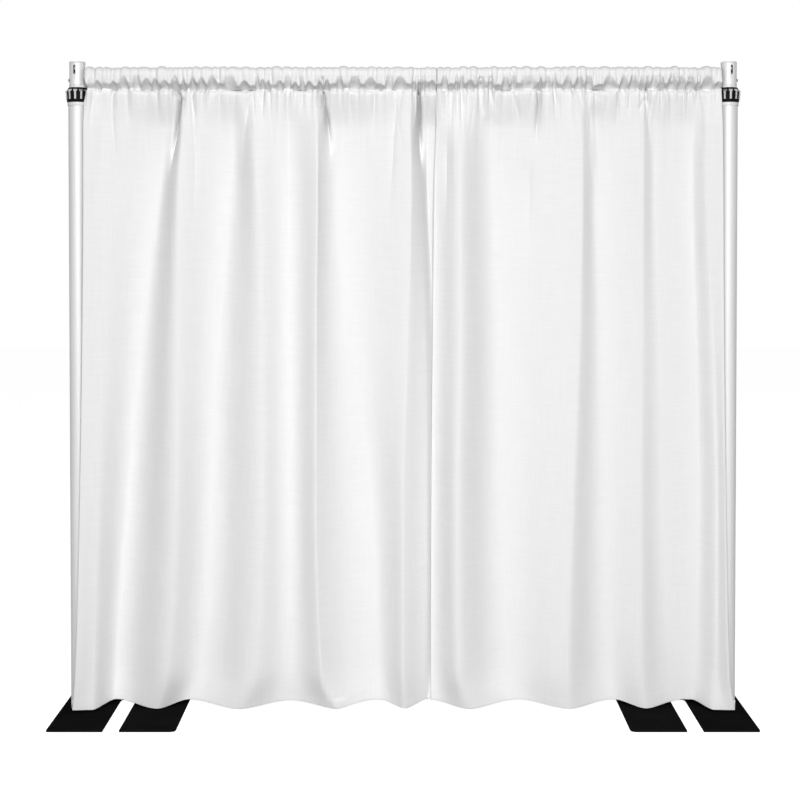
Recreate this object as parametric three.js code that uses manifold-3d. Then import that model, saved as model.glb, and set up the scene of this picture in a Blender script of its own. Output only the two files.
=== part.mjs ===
// Free-standing pipe and drape backdrop: two telescopic uprights on steel base plates, a telescopic
// crossbar that hooks into their slotted heads, and two gathered drape panels hung on the crossbar.
// Millimetres, +Z up, -Y towards the front. The origin is on the floor, midway between the uprights.

import * as THREE from "three";
import { mergeVertices } from "three/addons/utils/BufferGeometryUtils.js";
import Module from "manifold-3d";

const wasm = await Module();
wasm.setup();

// Whole backdrop: 6 ft by 6 ft, with both telescopes at their shortest
const uprightSpan = 1828.8;
const overallHeight = 1829;

// Clearances and cuts
const seatGap = 0.3;
const cutOverrun = 6;

// Facets round the pieces (counts)
const roundSides = 24;
const smallSides = 12;
const slotEndSteps = 4;

// Base plate
const plateWidth = 350;
const plateDepth = 400;
const plateThickness = 5;
const plateMargin = 50.8;
const plateOuterCorner = 5;
const plateInnerCorner = 18;
const carrySlotWidth = 45;
const carrySlotLength = 281;
const carrySlotCorner = 14;
const cornerSteps = 5;

// Base pin and its countersunk screw
const pinPlay = 1.4;
const pinWall = 5;
const pinHeight = 165;
const pinFoot = 14;
const pinChamfer = 4;
const screwRadius = 5;
const screwHeadRadius = 10;
const screwHeadRecess = 0.4;
const screwSocketRadius = 3.5;
const screwSocketDepth = 3;
const screwSocketSides = 6;

// Telescopic upright
const lowerTubeRadius = 25.4;
const lowerTubeWall = 2;
const upperTubeWall = 1.65;
const upperTubeAbovePin = 19.7;
const guideBushWall = 2.375;
const guideBushLength = 30;

// Clutch bush in the mouth of the lower tube
const clutchSkirtLength = 40;
const clutchFlangeHeight = 3.2;
const clutchNeckStep = 0.275;
const clutchNeckHeight = 11.5;
const clutchSlitWidth = 3;

// Twist-lock ring and the seat sleeve that it turns on
const ringHeight = 41.3;
const ringLip = 4.4;
const ringLipWall = 1.6;
const ringShoulderWall = 4.25;
const ringShoulderDrop = 11;
const ringLowWall = 1.85;
const ringFootWall = 0.85;
const ringFootHeight = 4.8;
const ringRibCount = 12;
const ringRibStand = 2;
const ringRibWidth = 6.4;
const ringRibHeight = 26;
const ringRibBarWidth = 13;
const ringRibBarHeight = 4.2;
const ringRibRoot = 1.2;
const sleeveWall = 1.75;
const sleeveBelowRing = 8.9;

// Slotted head on top of the upper tube
const headWall = 1.5;
const headTubeOverlap = 20;
const tubeBelowSlot = 9;
const tubeAboveRivet = 6;
const headSlotPlay = 1.4;
const headSlotHeight = 27;
const headSlotBelowTop = 10;
const headSlotTurn = THREE.MathUtils.degToRad(11);

// Head plug
const plugCapHeight = 4.7;
const plugCapRound = 2.6;
const plugSpigotDepth = 4.6;
const plugStemPlay = 2.225;
const plugStemDepth = 13.5;

// Stop rivets through the head and the upper tube
const rivetShankRadius = 2.4;
const rivetDomeRadius = 5;
const rivetDomeHeight = 3;
const rivetDomeShares = [0.8, 0.65];
const rivetTailRadius = 3.6;
const rivetTailLength = 2.4;

// Crossbar
const barOuterRadius = 19.05;
const barOuterWall = 1.65;
const barBushWall = 0.925;
const barInnerWall = 1.65;
const barHeadGap = 8;
const barOuterShort = 54;
const barInnerHidden = 184;
const barBushLength = 40;
const barBushFlange = 3;
const barPlugLength = 26;
const barPlugFlange = 2.4;

// Crossbar hooks: flat plates that pass through the head's slot and drop behind its lower edge
const hookThickness = 5;
const hookNeckHeight = 12;
const hookLipDrop = 7.8;
const hookReach = 8;
const hookShankHeight = 20;
const hookShankDepth = 60;
const hookBelowNeck = 3.3;
const hookThroatGap = 0.6;
const hookPinRadius = 3;
const hookPinInset = 44;

// Drape panels
const clothThickness = 2.4;
const pocketClearance = 1.95;
const pocketWall = 2;
const pocketTail = 13.6;
const pocketSeamWidth = 5;
const pocketSeamDepth = 6.4;
const pocketSteps = 12;
const seamLap = 2;
const pocketRingGap = 4.4;
const topEdgeInset = 22.4;
const hemEdgeLap = 9.6;
const edgeRingGap = 2;
const hemHeight = 18;
const cornerRise = 14;
const foldDepth = 50;
const edgeFlarePower = 3;
const foldSteps = 4;

// Places that follow from the sizes
const uprightX = uprightSpan / 2;
const lowerTubeBore = lowerTubeRadius - lowerTubeWall;
const upperTubeRadius = lowerTubeBore - guideBushWall - 2 * seatGap;
const headRadius = upperTubeRadius + seatGap + headWall;
const clutchNeckRadius = headRadius + clutchNeckStep;
const pinRadius = lowerTubeBore - pinPlay;
const pinBottom = plateThickness + seatGap;
const upperTubeFoot = pinBottom + pinHeight + upperTubeAbovePin;
const headTop = overallHeight - plugCapHeight - seatGap;
const slotTop = overallHeight - headSlotBelowTop;
const slotBottom = slotTop - headSlotHeight;
const upperTubeTop = slotBottom - tubeBelowSlot;
const rivetZ = upperTubeTop - tubeAboveRivet;
const headBottom = upperTubeTop - headTubeOverlap;
const clutchTop = headBottom - seatGap;
const clutchFlangeTop = clutchTop - clutchNeckHeight;
const lowerTubeTop = clutchFlangeTop - clutchFlangeHeight - seatGap;
const ringLipBottom = clutchFlangeTop + seatGap;
const ringTop = ringLipBottom + ringLip;
const ringBottom = ringTop - ringHeight;
const sleeveTop = lowerTubeTop - seatGap;
const sleeveBottom = ringBottom - sleeveBelowRing;
const sleeveInner = lowerTubeRadius + seatGap;
const sleeveOuter = sleeveInner + sleeveWall;
const ringBore = sleeveOuter + seatGap;
const ringTopBore = clutchNeckRadius + seatGap;
const ringLowRadius = ringBore + ringLowWall;
const ringShoulderRadius = ringBore + ringShoulderWall;
const ringReach = ringShoulderRadius + ringRibStand;
const headSlotWidth = hookThickness + headSlotPlay;
const barZ = slotBottom - hookBelowNeck;
const slotEndRadius = headSlotWidth / 2;
const slotFlatRadius = slotEndRadius * Math.cos(Math.PI / (2 * slotEndSteps));
const slotEndRise = slotEndRadius - Math.sqrt(slotFlatRadius ** 2 - (hookThickness / 2) ** 2);
const hookNeckBottom = slotBottom + slotEndRise + seatGap;
const hookNeckTop = hookNeckBottom + hookNeckHeight;
const barEndX = uprightX - headRadius - barHeadGap;
const barInnerRadius = barOuterRadius - barOuterWall - barBushWall - 2 * seatGap;
const pocketBore = barOuterRadius + pocketClearance;
const pocketZ = barZ + barOuterRadius + seatGap - pocketBore;
const pocketTipDrop = pocketBore + pocketWall + pocketTail;
const seamZ = pocketZ - pocketTipDrop;
const seamHalfWidth = uprightX - ringReach - pocketRingGap;
const topHalfWidth = uprightX - topEdgeInset;
const hemHalfWidth = uprightX + hemEdgeLap;

// Rows of each panel, as shares of its drop from the seam to the hem
const rowShares = [0, 0.03, 0.09, 0.2, 0.34, 0.49, 0.64, 0.78, 0.9, 1];

// Crests and hollows of the folds, from one edge of the panel to the other. Each row gives the place
// below the seam and at the hem, as shares of the half widths there, and the depth below the seam and
// at the hem, as shares of the fold depth, with the back positive. The outer edges stand in front of
// the uprights.
const edgeShare = -(ringReach + edgeRingGap) / foldDepth;
const leftFoldShares = [
  [-1, -1, edgeShare, edgeShare],
  [-0.935, -0.947, -0.5, -1.14],
  [-0.84, -0.869, 0.16, 0.9],
  [-0.69, -0.749, -0.24, -1.14],
  [-0.575, -0.644, 0.12, 0.9],
  [-0.455, -0.508, -0.24, -1.14],
  [-0.36, -0.345, 0, 0.9],
  [-0.265, -0.215, -0.3, -1.14],
  [-0.16, -0.075, 0.16, 0.9],
  [0.01, 0, -0.24, -0.9],
  [0.062, 0.075, 0.2, 1],
  [0.1043, 0.1353, 0.25, 1.12],
];
const rightFoldShares = [
  [0.1065, 0.0855, -0.04, 0.68],
  [0.165, 0.202, -0.24, -1.14],
  [0.3, 0.345, 0.16, 0.9],
  [0.53, 0.508, -0.24, -1.14],
  [0.636, 0.644, 0.16, 0.9],
  [0.735, 0.749, -0.24, -1.14],
  [0.88, 0.869, 0.12, 0.9],
  [0.955, 0.947, -0.4, -1.14],
  [1, 1, edgeShare, edgeShare],
];

// Finishes
const finish = {
  blackSteel: { color: 0x161616, roughness: 0.55, metalness: 0.1 },
  blackPlastic: { color: 0x141517, roughness: 0.45, metalness: 0 },
  aluminium: { color: 0xd8d9db, roughness: 0.35, metalness: 0.8 },
  nylon: { color: 0xe6e6e3, roughness: 0.5, metalness: 0 },
  zincSteel: { color: 0xa9abad, roughness: 0.4, metalness: 0.9 },
  cloth: { color: 0xf1f1f1, roughness: 0.95, metalness: 0 },
};

const backdrop = new THREE.Group();

// Keeps only the corners and triangles of a shape, with its faces turned outwards.
function outward(geometry) {
  const bare = new THREE.BufferGeometry();
  bare.setAttribute("position", geometry.getAttribute("position").clone());
  if (geometry.index) bare.setIndex(Array.from(geometry.index.array));
  const merged = mergeVertices(bare);
  const place = merged.getAttribute("position");
  const kept = [];
  const corner = [new THREE.Vector3(), new THREE.Vector3(), new THREE.Vector3()];
  let volume = 0;
  for (let i = 0; i < merged.index.count; i += 3) {
    const ids = [0, 1, 2].map((k) => merged.index.getX(i + k));
    if (ids[0] === ids[1] || ids[1] === ids[2] || ids[2] === ids[0]) continue;
    ids.forEach((id, k) => corner[k].fromBufferAttribute(place, id));
    volume += corner[0].dot(corner[1].clone().cross(corner[2]));
    kept.push(ids);
  }
  merged.setIndex(kept.flatMap((ids) => (volume < 0 ? [ids[0], ids[2], ids[1]] : ids)));
  return merged;
}

function toSolid(geometry) {
  const closed = outward(geometry);
  const vertProperties = new Float32Array(closed.getAttribute("position").array);
  const triVerts = new Uint32Array(closed.index.array);
  return new wasm.Manifold(new wasm.Mesh({ numProp: 3, vertProperties, triVerts }));
}

function toGeometry(solid) {
  const mesh = solid.getMesh();
  const geometry = new THREE.BufferGeometry();
  geometry.setAttribute("position", new THREE.BufferAttribute(new Float32Array(mesh.vertProperties), 3));
  geometry.setIndex(Array.from(mesh.triVerts));
  return geometry;
}

function cut(geometry, cutters) {
  const solid = cutters.reduce((rest, cutter) => rest.subtract(toSolid(cutter)), toSolid(geometry));
  return toGeometry(solid);
}

function join(geometries) {
  const solid = geometries.slice(1).reduce((all, next) => all.add(toSolid(next)), toSolid(geometries[0]));
  return toGeometry(solid);
}

function addPiece(name, geometry, look, x = 0, y = 0, z = 0) {
  const mesh = new THREE.Mesh(outward(geometry), new THREE.MeshStandardMaterial(finish[look]));
  mesh.name = name;
  mesh.position.set(x, y, z);
  backdrop.add(mesh);
}

// A turned piece about Z from [radius, height] corners. A profile off the axis closes on itself.
function turned(profile, sides = roundSides) {
  const points = profile.map(([radius, height]) => new THREE.Vector2(radius, height));
  if (profile[0][0] > 0) points.push(points[0].clone());
  return new THREE.LatheGeometry(points, sides).rotateX(Math.PI / 2);
}

function tube(outer, inner, bottom, top) {
  return turned([[outer, bottom], [outer, top], [inner, top], [inner, bottom]]);
}

function block(width, depth, height) {
  return new THREE.BoxGeometry(width, depth, height);
}

// A round cutter or pin that lies along Y, or along X when it is turned there.
function crossCylinder(radius, length, sides = smallSides) {
  return new THREE.CylinderGeometry(radius, radius, length, sides);
}

// Lays a shape drawn in Y and Z along +X.
function alongX(shape, length, steps) {
  const geometry = new THREE.ExtrudeGeometry(shape, { depth: length, bevelEnabled: false, curveSegments: steps });
  const basis = new THREE.Matrix4().makeBasis(
    new THREE.Vector3(0, 1, 0), new THREE.Vector3(0, 0, 1), new THREE.Vector3(1, 0, 0));
  return geometry.applyMatrix4(basis);
}

// Base plate, drawn from above with the upright's axis at zero and the plate reaching inwards.
function basePlate(side) {
  const inward = -side;
  const outerX = -inward * plateMargin;
  const innerX = inward * (plateWidth - plateMargin);
  const slotX = (outerX + innerX) / 2;
  const front = -plateDepth / 2;
  const back = plateDepth / 2;
  const slotEnd = front + carrySlotLength;
  const slotOuter = slotX - inward * carrySlotWidth / 2;
  const slotInner = slotX + inward * carrySlotWidth / 2;
  const shape = new THREE.Shape();
  shape.moveTo(outerX, front + plateOuterCorner);
  shape.quadraticCurveTo(outerX, front, outerX + inward * plateOuterCorner, front);
  shape.lineTo(slotOuter, front);
  shape.lineTo(slotOuter, slotEnd - carrySlotCorner);
  shape.quadraticCurveTo(slotOuter, slotEnd, slotOuter + inward * carrySlotCorner, slotEnd);
  shape.lineTo(slotInner - inward * carrySlotCorner, slotEnd);
  shape.quadraticCurveTo(slotInner, slotEnd, slotInner, slotEnd - carrySlotCorner);
  shape.lineTo(slotInner, front);
  shape.lineTo(innerX - inward * plateInnerCorner, front);
  shape.quadraticCurveTo(innerX, front, innerX, front + plateInnerCorner);
  shape.lineTo(innerX, back - plateInnerCorner);
  shape.quadraticCurveTo(innerX, back, innerX - inward * plateInnerCorner, back);
  shape.lineTo(outerX + inward * plateOuterCorner, back);
  shape.quadraticCurveTo(outerX, back, outerX, back - plateOuterCorner);
  const settings = { depth: plateThickness, bevelEnabled: false, curveSegments: cornerSteps };
  const plate = new THREE.ExtrudeGeometry(shape, settings);
  const mouthRadius = screwHeadRadius + screwHeadRecess + seatGap;
  const slope = (screwHeadRadius - screwRadius) / plateThickness;
  const countersink = turned([
    [0, -cutOverrun],
    [mouthRadius + slope * cutOverrun, -cutOverrun],
    [mouthRadius - slope * (plateThickness + seatGap), plateThickness + seatGap],
    [0, plateThickness + seatGap],
  ]);
  return cut(plate, [countersink]);
}

function basePin() {
  const top = pinBottom + pinHeight;
  const bore = pinRadius - pinWall;
  return turned([
    [pinRadius, pinBottom],
    [pinRadius, top - pinChamfer],
    [pinRadius - pinChamfer, top],
    [bore, top],
    [bore, pinBottom + pinFoot],
    [screwRadius + seatGap, pinBottom + pinFoot],
    [screwRadius + seatGap, pinBottom],
  ]);
}

function baseScrew() {
  const headTopZ = screwHeadRecess + plateThickness;
  const body = turned([
    [0, screwHeadRecess],
    [screwHeadRadius, screwHeadRecess],
    [screwRadius, headTopZ],
    [screwRadius, pinBottom + pinFoot],
    [0, pinBottom + pinFoot],
  ]);
  const socket = turned([
    [0, screwHeadRecess - cutOverrun],
    [screwSocketRadius, screwHeadRecess - cutOverrun],
    [screwSocketRadius, screwHeadRecess + screwSocketDepth],
    [0, screwHeadRecess + screwSocketDepth],
  ], screwSocketSides);
  return cut(body, [socket]);
}

function guideBush() {
  return tube(lowerTubeBore - seatGap, upperTubeRadius + seatGap, upperTubeFoot,
    upperTubeFoot + guideBushLength);
}

function clutchBush() {
  const skirtOuter = lowerTubeBore - seatGap;
  const bore = upperTubeRadius + seatGap;
  const flangeBottom = lowerTubeTop + seatGap;
  const body = turned([
    [bore, lowerTubeTop - clutchSkirtLength],
    [skirtOuter, lowerTubeTop - clutchSkirtLength],
    [skirtOuter, flangeBottom],
    [lowerTubeRadius, flangeBottom],
    [lowerTubeRadius, clutchFlangeTop],
    [clutchNeckRadius, clutchFlangeTop],
    [clutchNeckRadius, clutchTop],
    [bore, clutchTop],
  ]);
  const slit = block(clutchSlitWidth, lowerTubeRadius + cutOverrun, clutchSkirtLength + cutOverrun);
  slit.translate(0, (lowerTubeRadius + cutOverrun) / 2, lowerTubeTop - (clutchSkirtLength + cutOverrun) / 2);
  return cut(body, [slit]);
}

function seatSleeve() {
  return tube(sleeveOuter, sleeveInner, sleeveBottom, sleeveTop);
}

// Twist-lock ring: a cap nut with a row of T-shaped grip ribs.
function lockRing() {
  const shoulderZ = ringTop - ringShoulderDrop;
  const body = turned([
    [ringBore, ringBottom],
    [ringBore + ringFootWall, ringBottom],
    [ringLowRadius, ringBottom + ringFootHeight],
    [ringShoulderRadius, shoulderZ],
    [ringTopBore + ringLipWall, ringTop],
    [ringTopBore, ringTop],
    [ringTopBore, ringLipBottom],
    [ringBore, ringLipBottom],
  ]);
  const parts = [body];
  const ribTop = shoulderZ;
  const reach = ringRibStand + ringRibRoot;
  for (let i = 0; i < ringRibCount; i += 1) {
    const angle = ((i + 0.5) / ringRibCount) * 2 * Math.PI;
    const stem = block(reach, ringRibWidth, ringRibHeight);
    stem.translate(ringLowRadius + ringRibStand - reach / 2, 0, ribTop - ringRibHeight / 2);
    const bar = block(reach, ringRibBarWidth, ringRibBarHeight);
    bar.translate(ringReach - reach / 2, 0, ribTop - ringRibBarHeight / 2);
    parts.push(stem.rotateZ(angle), bar.rotateZ(angle));
  }
  return join(parts);
}

// A round-ended slot cutter that reaches through a wall from the axis towards +X.
function slotCutter(width, height, reach) {
  const half = width / 2;
  const straight = height / 2 - half;
  const shape = new THREE.Shape();
  shape.absarc(0, straight, half, 0, Math.PI, false);
  shape.absarc(0, -straight, half, Math.PI, 2 * Math.PI, false);
  return alongX(shape, reach, slotEndSteps);
}

function rivetHoles() {
  return crossCylinder(rivetShankRadius + seatGap, 2 * (headRadius + cutOverrun))
    .rotateZ(Math.PI / 2)
    .translate(0, 0, rivetZ);
}

// The head's side slots face along X, and its front and back slots are turned outwards a little.
function slottedHead(side) {
  const wall = tube(headRadius, headRadius - headWall, headBottom, headTop);
  const slotZ = (slotTop + slotBottom) / 2;
  const turns = [0, Math.PI, -Math.PI / 2 + side * headSlotTurn, Math.PI / 2 - side * headSlotTurn];
  const cutters = turns.map((turn) => slotCutter(headSlotWidth, headSlotHeight, headRadius + cutOverrun)
    .rotateZ(turn)
    .translate(0, 0, slotZ));
  return cut(wall, [...cutters, rivetHoles()]);
}

function upperTube() {
  const wall = tube(upperTubeRadius, upperTubeRadius - upperTubeWall, upperTubeFoot, upperTubeTop);
  return cut(wall, [rivetHoles()]);
}

function headPlug() {
  const spigotRadius = headRadius - headWall - seatGap;
  const plugStemRadius = headRadius - headWall - hookReach - plugStemPlay;
  const capBottom = overallHeight - plugCapHeight;
  const spigotBottom = capBottom - plugSpigotDepth;
  return turned([
    [0, spigotBottom - plugStemDepth],
    [plugStemRadius, spigotBottom - plugStemDepth],
    [plugStemRadius, spigotBottom],
    [spigotRadius, spigotBottom],
    [spigotRadius, capBottom],
    [headRadius, capBottom],
    [headRadius, overallHeight - plugCapRound],
    [headRadius - plugCapRound / 3, overallHeight - plugCapRound / 3],
    [headRadius - plugCapRound, overallHeight],
    [0, overallHeight],
  ]);
}

// Stop rivet along +X, with its dome outside the head and its tail inside the upper tube.
function stopRivet() {
  const domeBase = headRadius + seatGap;
  const flatRadius = (upperTubeRadius - upperTubeWall) * Math.cos(Math.PI / roundSides);
  const tailTop = Math.sqrt(flatRadius ** 2 - rivetTailRadius ** 2) - seatGap;
  return turned([
    [0, tailTop - rivetTailLength],
    [rivetTailRadius, tailTop - rivetTailLength],
    [rivetTailRadius, tailTop],
    [rivetShankRadius, tailTop],
    [rivetShankRadius, domeBase],
    [rivetDomeRadius, domeBase],
    [rivetDomeRadius * rivetDomeShares[0], domeBase + rivetDomeHeight * rivetDomeShares[1]],
    [0, domeBase + rivetDomeHeight],
  ], smallSides).rotateY(Math.PI / 2);
}

// Hook, drawn in X and Z with the head's outer face at zero and the bar towards +X.
function barHook() {
  const throatOuter = hookThroatGap;
  const throatInner = -headWall - hookThroatGap;
  const tip = -headWall - hookReach;
  const shankEnd = barHeadGap + hookShankDepth;
  const lipBottom = hookNeckBottom - hookLipDrop;
  const shankTop = barZ + hookShankHeight / 2;
  const shankBottom = barZ - hookShankHeight / 2;
  const heelX = rivetDomeHeight + 3 * seatGap;
  const heelZ = rivetZ + rivetDomeRadius + seatGap;
  const shape = new THREE.Shape();
  shape.moveTo(tip, lipBottom);
  shape.lineTo(tip, hookNeckTop - hookLipDrop / 2);
  shape.quadraticCurveTo(tip, hookNeckTop, tip + hookLipDrop / 2, hookNeckTop);
  shape.lineTo(barHeadGap / 2, hookNeckTop);
  shape.lineTo(barHeadGap, shankTop);
  shape.lineTo(shankEnd, shankTop);
  shape.lineTo(shankEnd, shankBottom);
  shape.lineTo(heelX, shankBottom);
  shape.lineTo(heelX, heelZ);
  shape.lineTo(throatOuter, heelZ);
  shape.lineTo(throatOuter, hookNeckBottom);
  shape.lineTo(throatInner, hookNeckBottom);
  shape.lineTo(throatInner, lipBottom);
  const settings = { depth: hookThickness, bevelEnabled: false, curveSegments: cornerSteps };
  const plate = new THREE.ExtrudeGeometry(shape, settings).rotateX(Math.PI / 2);
  plate.translate(0, hookThickness / 2, 0);
  const hole = crossCylinder(hookPinRadius + seatGap, hookThickness + cutOverrun);
  hole.translate(barHeadGap + hookPinInset, 0, barZ);
  return cut(plate, [hole]);
}

// End plug of a bar tube, drawn about X from the bar's end inwards, with a slot for the hook.
function barPlug(outerRadius, wall) {
  const spigot = outerRadius - wall - seatGap;
  const body = turned([
    [0, 0],
    [outerRadius, 0],
    [outerRadius, barPlugFlange],
    [spigot, barPlugFlange],
    [spigot, barPlugLength],
    [0, barPlugLength],
  ]).rotateY(Math.PI / 2);
  const slot = block(barPlugLength + 2 * cutOverrun, hookThickness + 2 * seatGap, hookShankHeight + 2 * seatGap);
  slot.translate(barPlugLength / 2, 0, 0);
  return cut(body, [slot]);
}

// A bar tube about X, with the hook pin's holes near one end.
function barTube(radius, wall, length) {
  const body = tube(radius, radius - wall, 0, length).rotateY(Math.PI / 2);
  const start = barPlugFlange + seatGap;
  const hole = crossCylinder(hookPinRadius + seatGap, 2 * (radius + cutOverrun));
  hole.translate(hookPinInset - start, 0, 0);
  return cut(body, [hole]);
}

function barBush() {
  const bore = barInnerRadius + seatGap;
  const skirt = barOuterRadius - barOuterWall - seatGap;
  return turned([
    [bore, -barBushLength],
    [skirt, -barBushLength],
    [skirt, seatGap],
    [barOuterRadius, seatGap],
    [barOuterRadius, seatGap + barBushFlange],
    [bore, seatGap + barBushFlange],
  ]).rotateY(Math.PI / 2);
}

// The teardrop outline of the rod pocket, with the bar's pocket centre at zero.
function teardrop(path, radius, tipDrop, tipWidth) {
  const touch = Math.acos(radius / tipDrop);
  path.absarc(0, 0, radius, -Math.PI / 2 + touch, 1.5 * Math.PI - touch, false);
  if (tipWidth > 0) path.lineTo(-tipWidth / 2, -tipDrop);
  path.lineTo(tipWidth / 2, -tipDrop);
  return path;
}

function rodPocket(fromX, toX) {
  const outline = teardrop(new THREE.Shape(), pocketBore + pocketWall, pocketTipDrop, pocketSeamWidth);
  outline.holes.push(teardrop(new THREE.Path(), pocketBore, pocketTipDrop - pocketSeamDepth, 0));
  return alongX(outline, toX - fromX, pocketSteps).translate(fromX, 0, pocketZ);
}

// Places along the folds, with foldSteps columns from each crest or hollow to the next.
function foldColumns(foldShares) {
  const columns = [];
  for (let k = 0; k + 1 < foldShares.length; k += 1) {
    const from = foldShares[k];
    const to = foldShares[k + 1];
    const last = k + 2 === foldShares.length;
    for (let i = 0; i < foldSteps + (last ? 1 : 0); i += 1) {
      const share = i / foldSteps;
      const swing = (1 - Math.cos(share * Math.PI)) / 2;
      const topPlace = THREE.MathUtils.lerp(from[0], to[0], share);
      columns.push({
        topPlace,
        hemPlace: THREE.MathUtils.lerp(from[1], to[1], share),
        topDepth: THREE.MathUtils.lerp(from[2], to[2], swing),
        hemDepth: THREE.MathUtils.lerp(from[3], to[3], swing),
        edge: Math.max(0, 1 - (1 - Math.abs(topPlace)) / (1 - Math.abs(foldShares[1][0]))),
      });
    }
  }
  return columns;
}

// One point of the cloth's middle surface. The folds start below the seam, and the outer edges flare
// out late, towards the hem.
function clothPoint(column, rowShare) {
  const seamTop = seamZ + seamLap;
  const topX = column.topPlace * (rowShare === 0 ? seamHalfWidth : topHalfWidth);
  const late = THREE.MathUtils.lerp(rowShare, rowShare ** edgeFlarePower, column.edge);
  const x = THREE.MathUtils.lerp(topX, column.hemPlace * hemHalfWidth, late);
  const depth = rowShare === 0 ? 0 : THREE.MathUtils.lerp(column.topDepth, column.hemDepth, rowShare);
  const hem = hemHeight + cornerRise * column.edge ** 2;
  return new THREE.Vector3(x, depth * foldDepth, THREE.MathUtils.lerp(seamTop, hem, rowShare));
}

function clothSheet(foldShares) {
  const columns = foldColumns(foldShares);
  const rows = rowShares.length;
  const positions = [];
  for (const face of [-1, 1]) {
    for (const column of columns) {
      for (const share of rowShares) {
        const point = clothPoint(column, share);
        positions.push(point.x, point.y + (face * clothThickness) / 2, point.z);
      }
    }
  }
  const backStart = columns.length * rows;
  const at = (column, row) => column * rows + row;
  const indices = [];
  const quad = (a, b, c, d) => indices.push(a, b, c, a, c, d);
  for (let c = 0; c + 1 < columns.length; c += 1) {
    for (let r = 0; r + 1 < rows; r += 1) {
      quad(at(c, r), at(c, r + 1), at(c + 1, r + 1), at(c + 1, r));
      quad(backStart + at(c, r), backStart + at(c + 1, r), backStart + at(c + 1, r + 1), backStart + at(c, r + 1));
    }
    quad(at(c, 0), at(c + 1, 0), backStart + at(c + 1, 0), backStart + at(c, 0));
    const low = rows - 1;
    quad(at(c, low), backStart + at(c, low), backStart + at(c + 1, low), at(c + 1, low));
  }
  const end = columns.length - 1;
  for (let r = 0; r + 1 < rows; r += 1) {
    quad(at(0, r), backStart + at(0, r), backStart + at(0, r + 1), at(0, r + 1));
    quad(at(end, r), at(end, r + 1), backStart + at(end, r + 1), backStart + at(end, r));
  }
  const geometry = new THREE.BufferGeometry();
  geometry.setAttribute("position", new THREE.Float32BufferAttribute(positions, 3));
  geometry.setIndex(indices);
  return geometry;
}

function drapePanel(foldShares) {
  const fromX = foldShares[0][0] * seamHalfWidth;
  const toX = foldShares[foldShares.length - 1][0] * seamHalfWidth;
  return join([rodPocket(fromX, toX), clothSheet(foldShares)]);
}

function buildUpright(side, label) {
  const x = side * uprightX;
  addPiece(`base_plate_${label}`, basePlate(side), "blackSteel", x);
  addPiece(`base_pin_${label}`, basePin(), "zincSteel", x);
  addPiece(`base_screw_${label}`, baseScrew(), "zincSteel", x);
  addPiece(`lower_tube_${label}`,
    tube(lowerTubeRadius, lowerTubeBore, pinBottom, lowerTubeTop), "aluminium", x);
  addPiece(`seat_sleeve_${label}`, seatSleeve(), "nylon", x);
  addPiece(`clutch_bush_${label}`, clutchBush(), "nylon", x);
  addPiece(`lock_ring_${label}`, lockRing(), "blackPlastic", x);
  addPiece(`upper_tube_${label}`, upperTube(), "aluminium", x);
  addPiece(`guide_bush_${label}`, guideBush(), "nylon", x);
  addPiece(`slotted_head_${label}`, slottedHead(side), "aluminium", x);
  addPiece(`head_plug_${label}`, headPlug(), "nylon", x);
  const outerRivet = side > 0 ? stopRivet() : stopRivet().rotateZ(Math.PI);
  const innerRivet = side > 0 ? stopRivet().rotateZ(Math.PI) : stopRivet();
  addPiece(`stop_rivet_outer_${label}`, outerRivet, "zincSteel", x, 0, rivetZ);
  addPiece(`stop_rivet_inner_${label}`, innerRivet, "zincSteel", x, 0, rivetZ);
}

// Turns a piece drawn inwards from the left end so that it serves the right end.
function forSide(geometry, side) {
  return side < 0 ? geometry : geometry.rotateZ(Math.PI);
}

function buildBarEnd(side, label, radius, wall) {
  const endX = side * barEndX;
  addPiece(`bar_plug_${label}`, forSide(barPlug(radius, wall), side), "nylon", endX, 0, barZ);
  addPiece(`bar_hook_${label}`, forSide(barHook(), side), "zincSteel", side * (uprightX - headRadius));
  const pin = crossCylinder(hookPinRadius, 2 * radius);
  addPiece(`hook_pin_${label}`, pin, "zincSteel", endX - side * hookPinInset, 0, barZ);
}

buildUpright(-1, "left");
buildUpright(1, "right");

buildBarEnd(-1, "left", barOuterRadius, barOuterWall);
buildBarEnd(1, "right", barInnerRadius, barInnerWall);

const tubeStartX = barEndX - barPlugFlange - seatGap;
const outerLength = 2 * tubeStartX - barOuterShort;
const innerLength = 2 * tubeStartX - barInnerHidden;
addPiece("bar_outer_tube", barTube(barOuterRadius, barOuterWall, outerLength), "aluminium", -tubeStartX, 0, barZ);
addPiece("bar_inner_tube", forSide(barTube(barInnerRadius, barInnerWall, innerLength), 1), "aluminium",
  tubeStartX, 0, barZ);
addPiece("bar_bush", barBush(), "nylon", -tubeStartX + outerLength, 0, barZ);

addPiece("drape_left", drapePanel(leftFoldShares), "cloth");
addPiece("drape_right", drapePanel(rightFoldShares), "cloth");

export default backdrop;
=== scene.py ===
import math

import bmesh
import bpy
import numpy as np
from mathutils import Matrix, Vector


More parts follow.
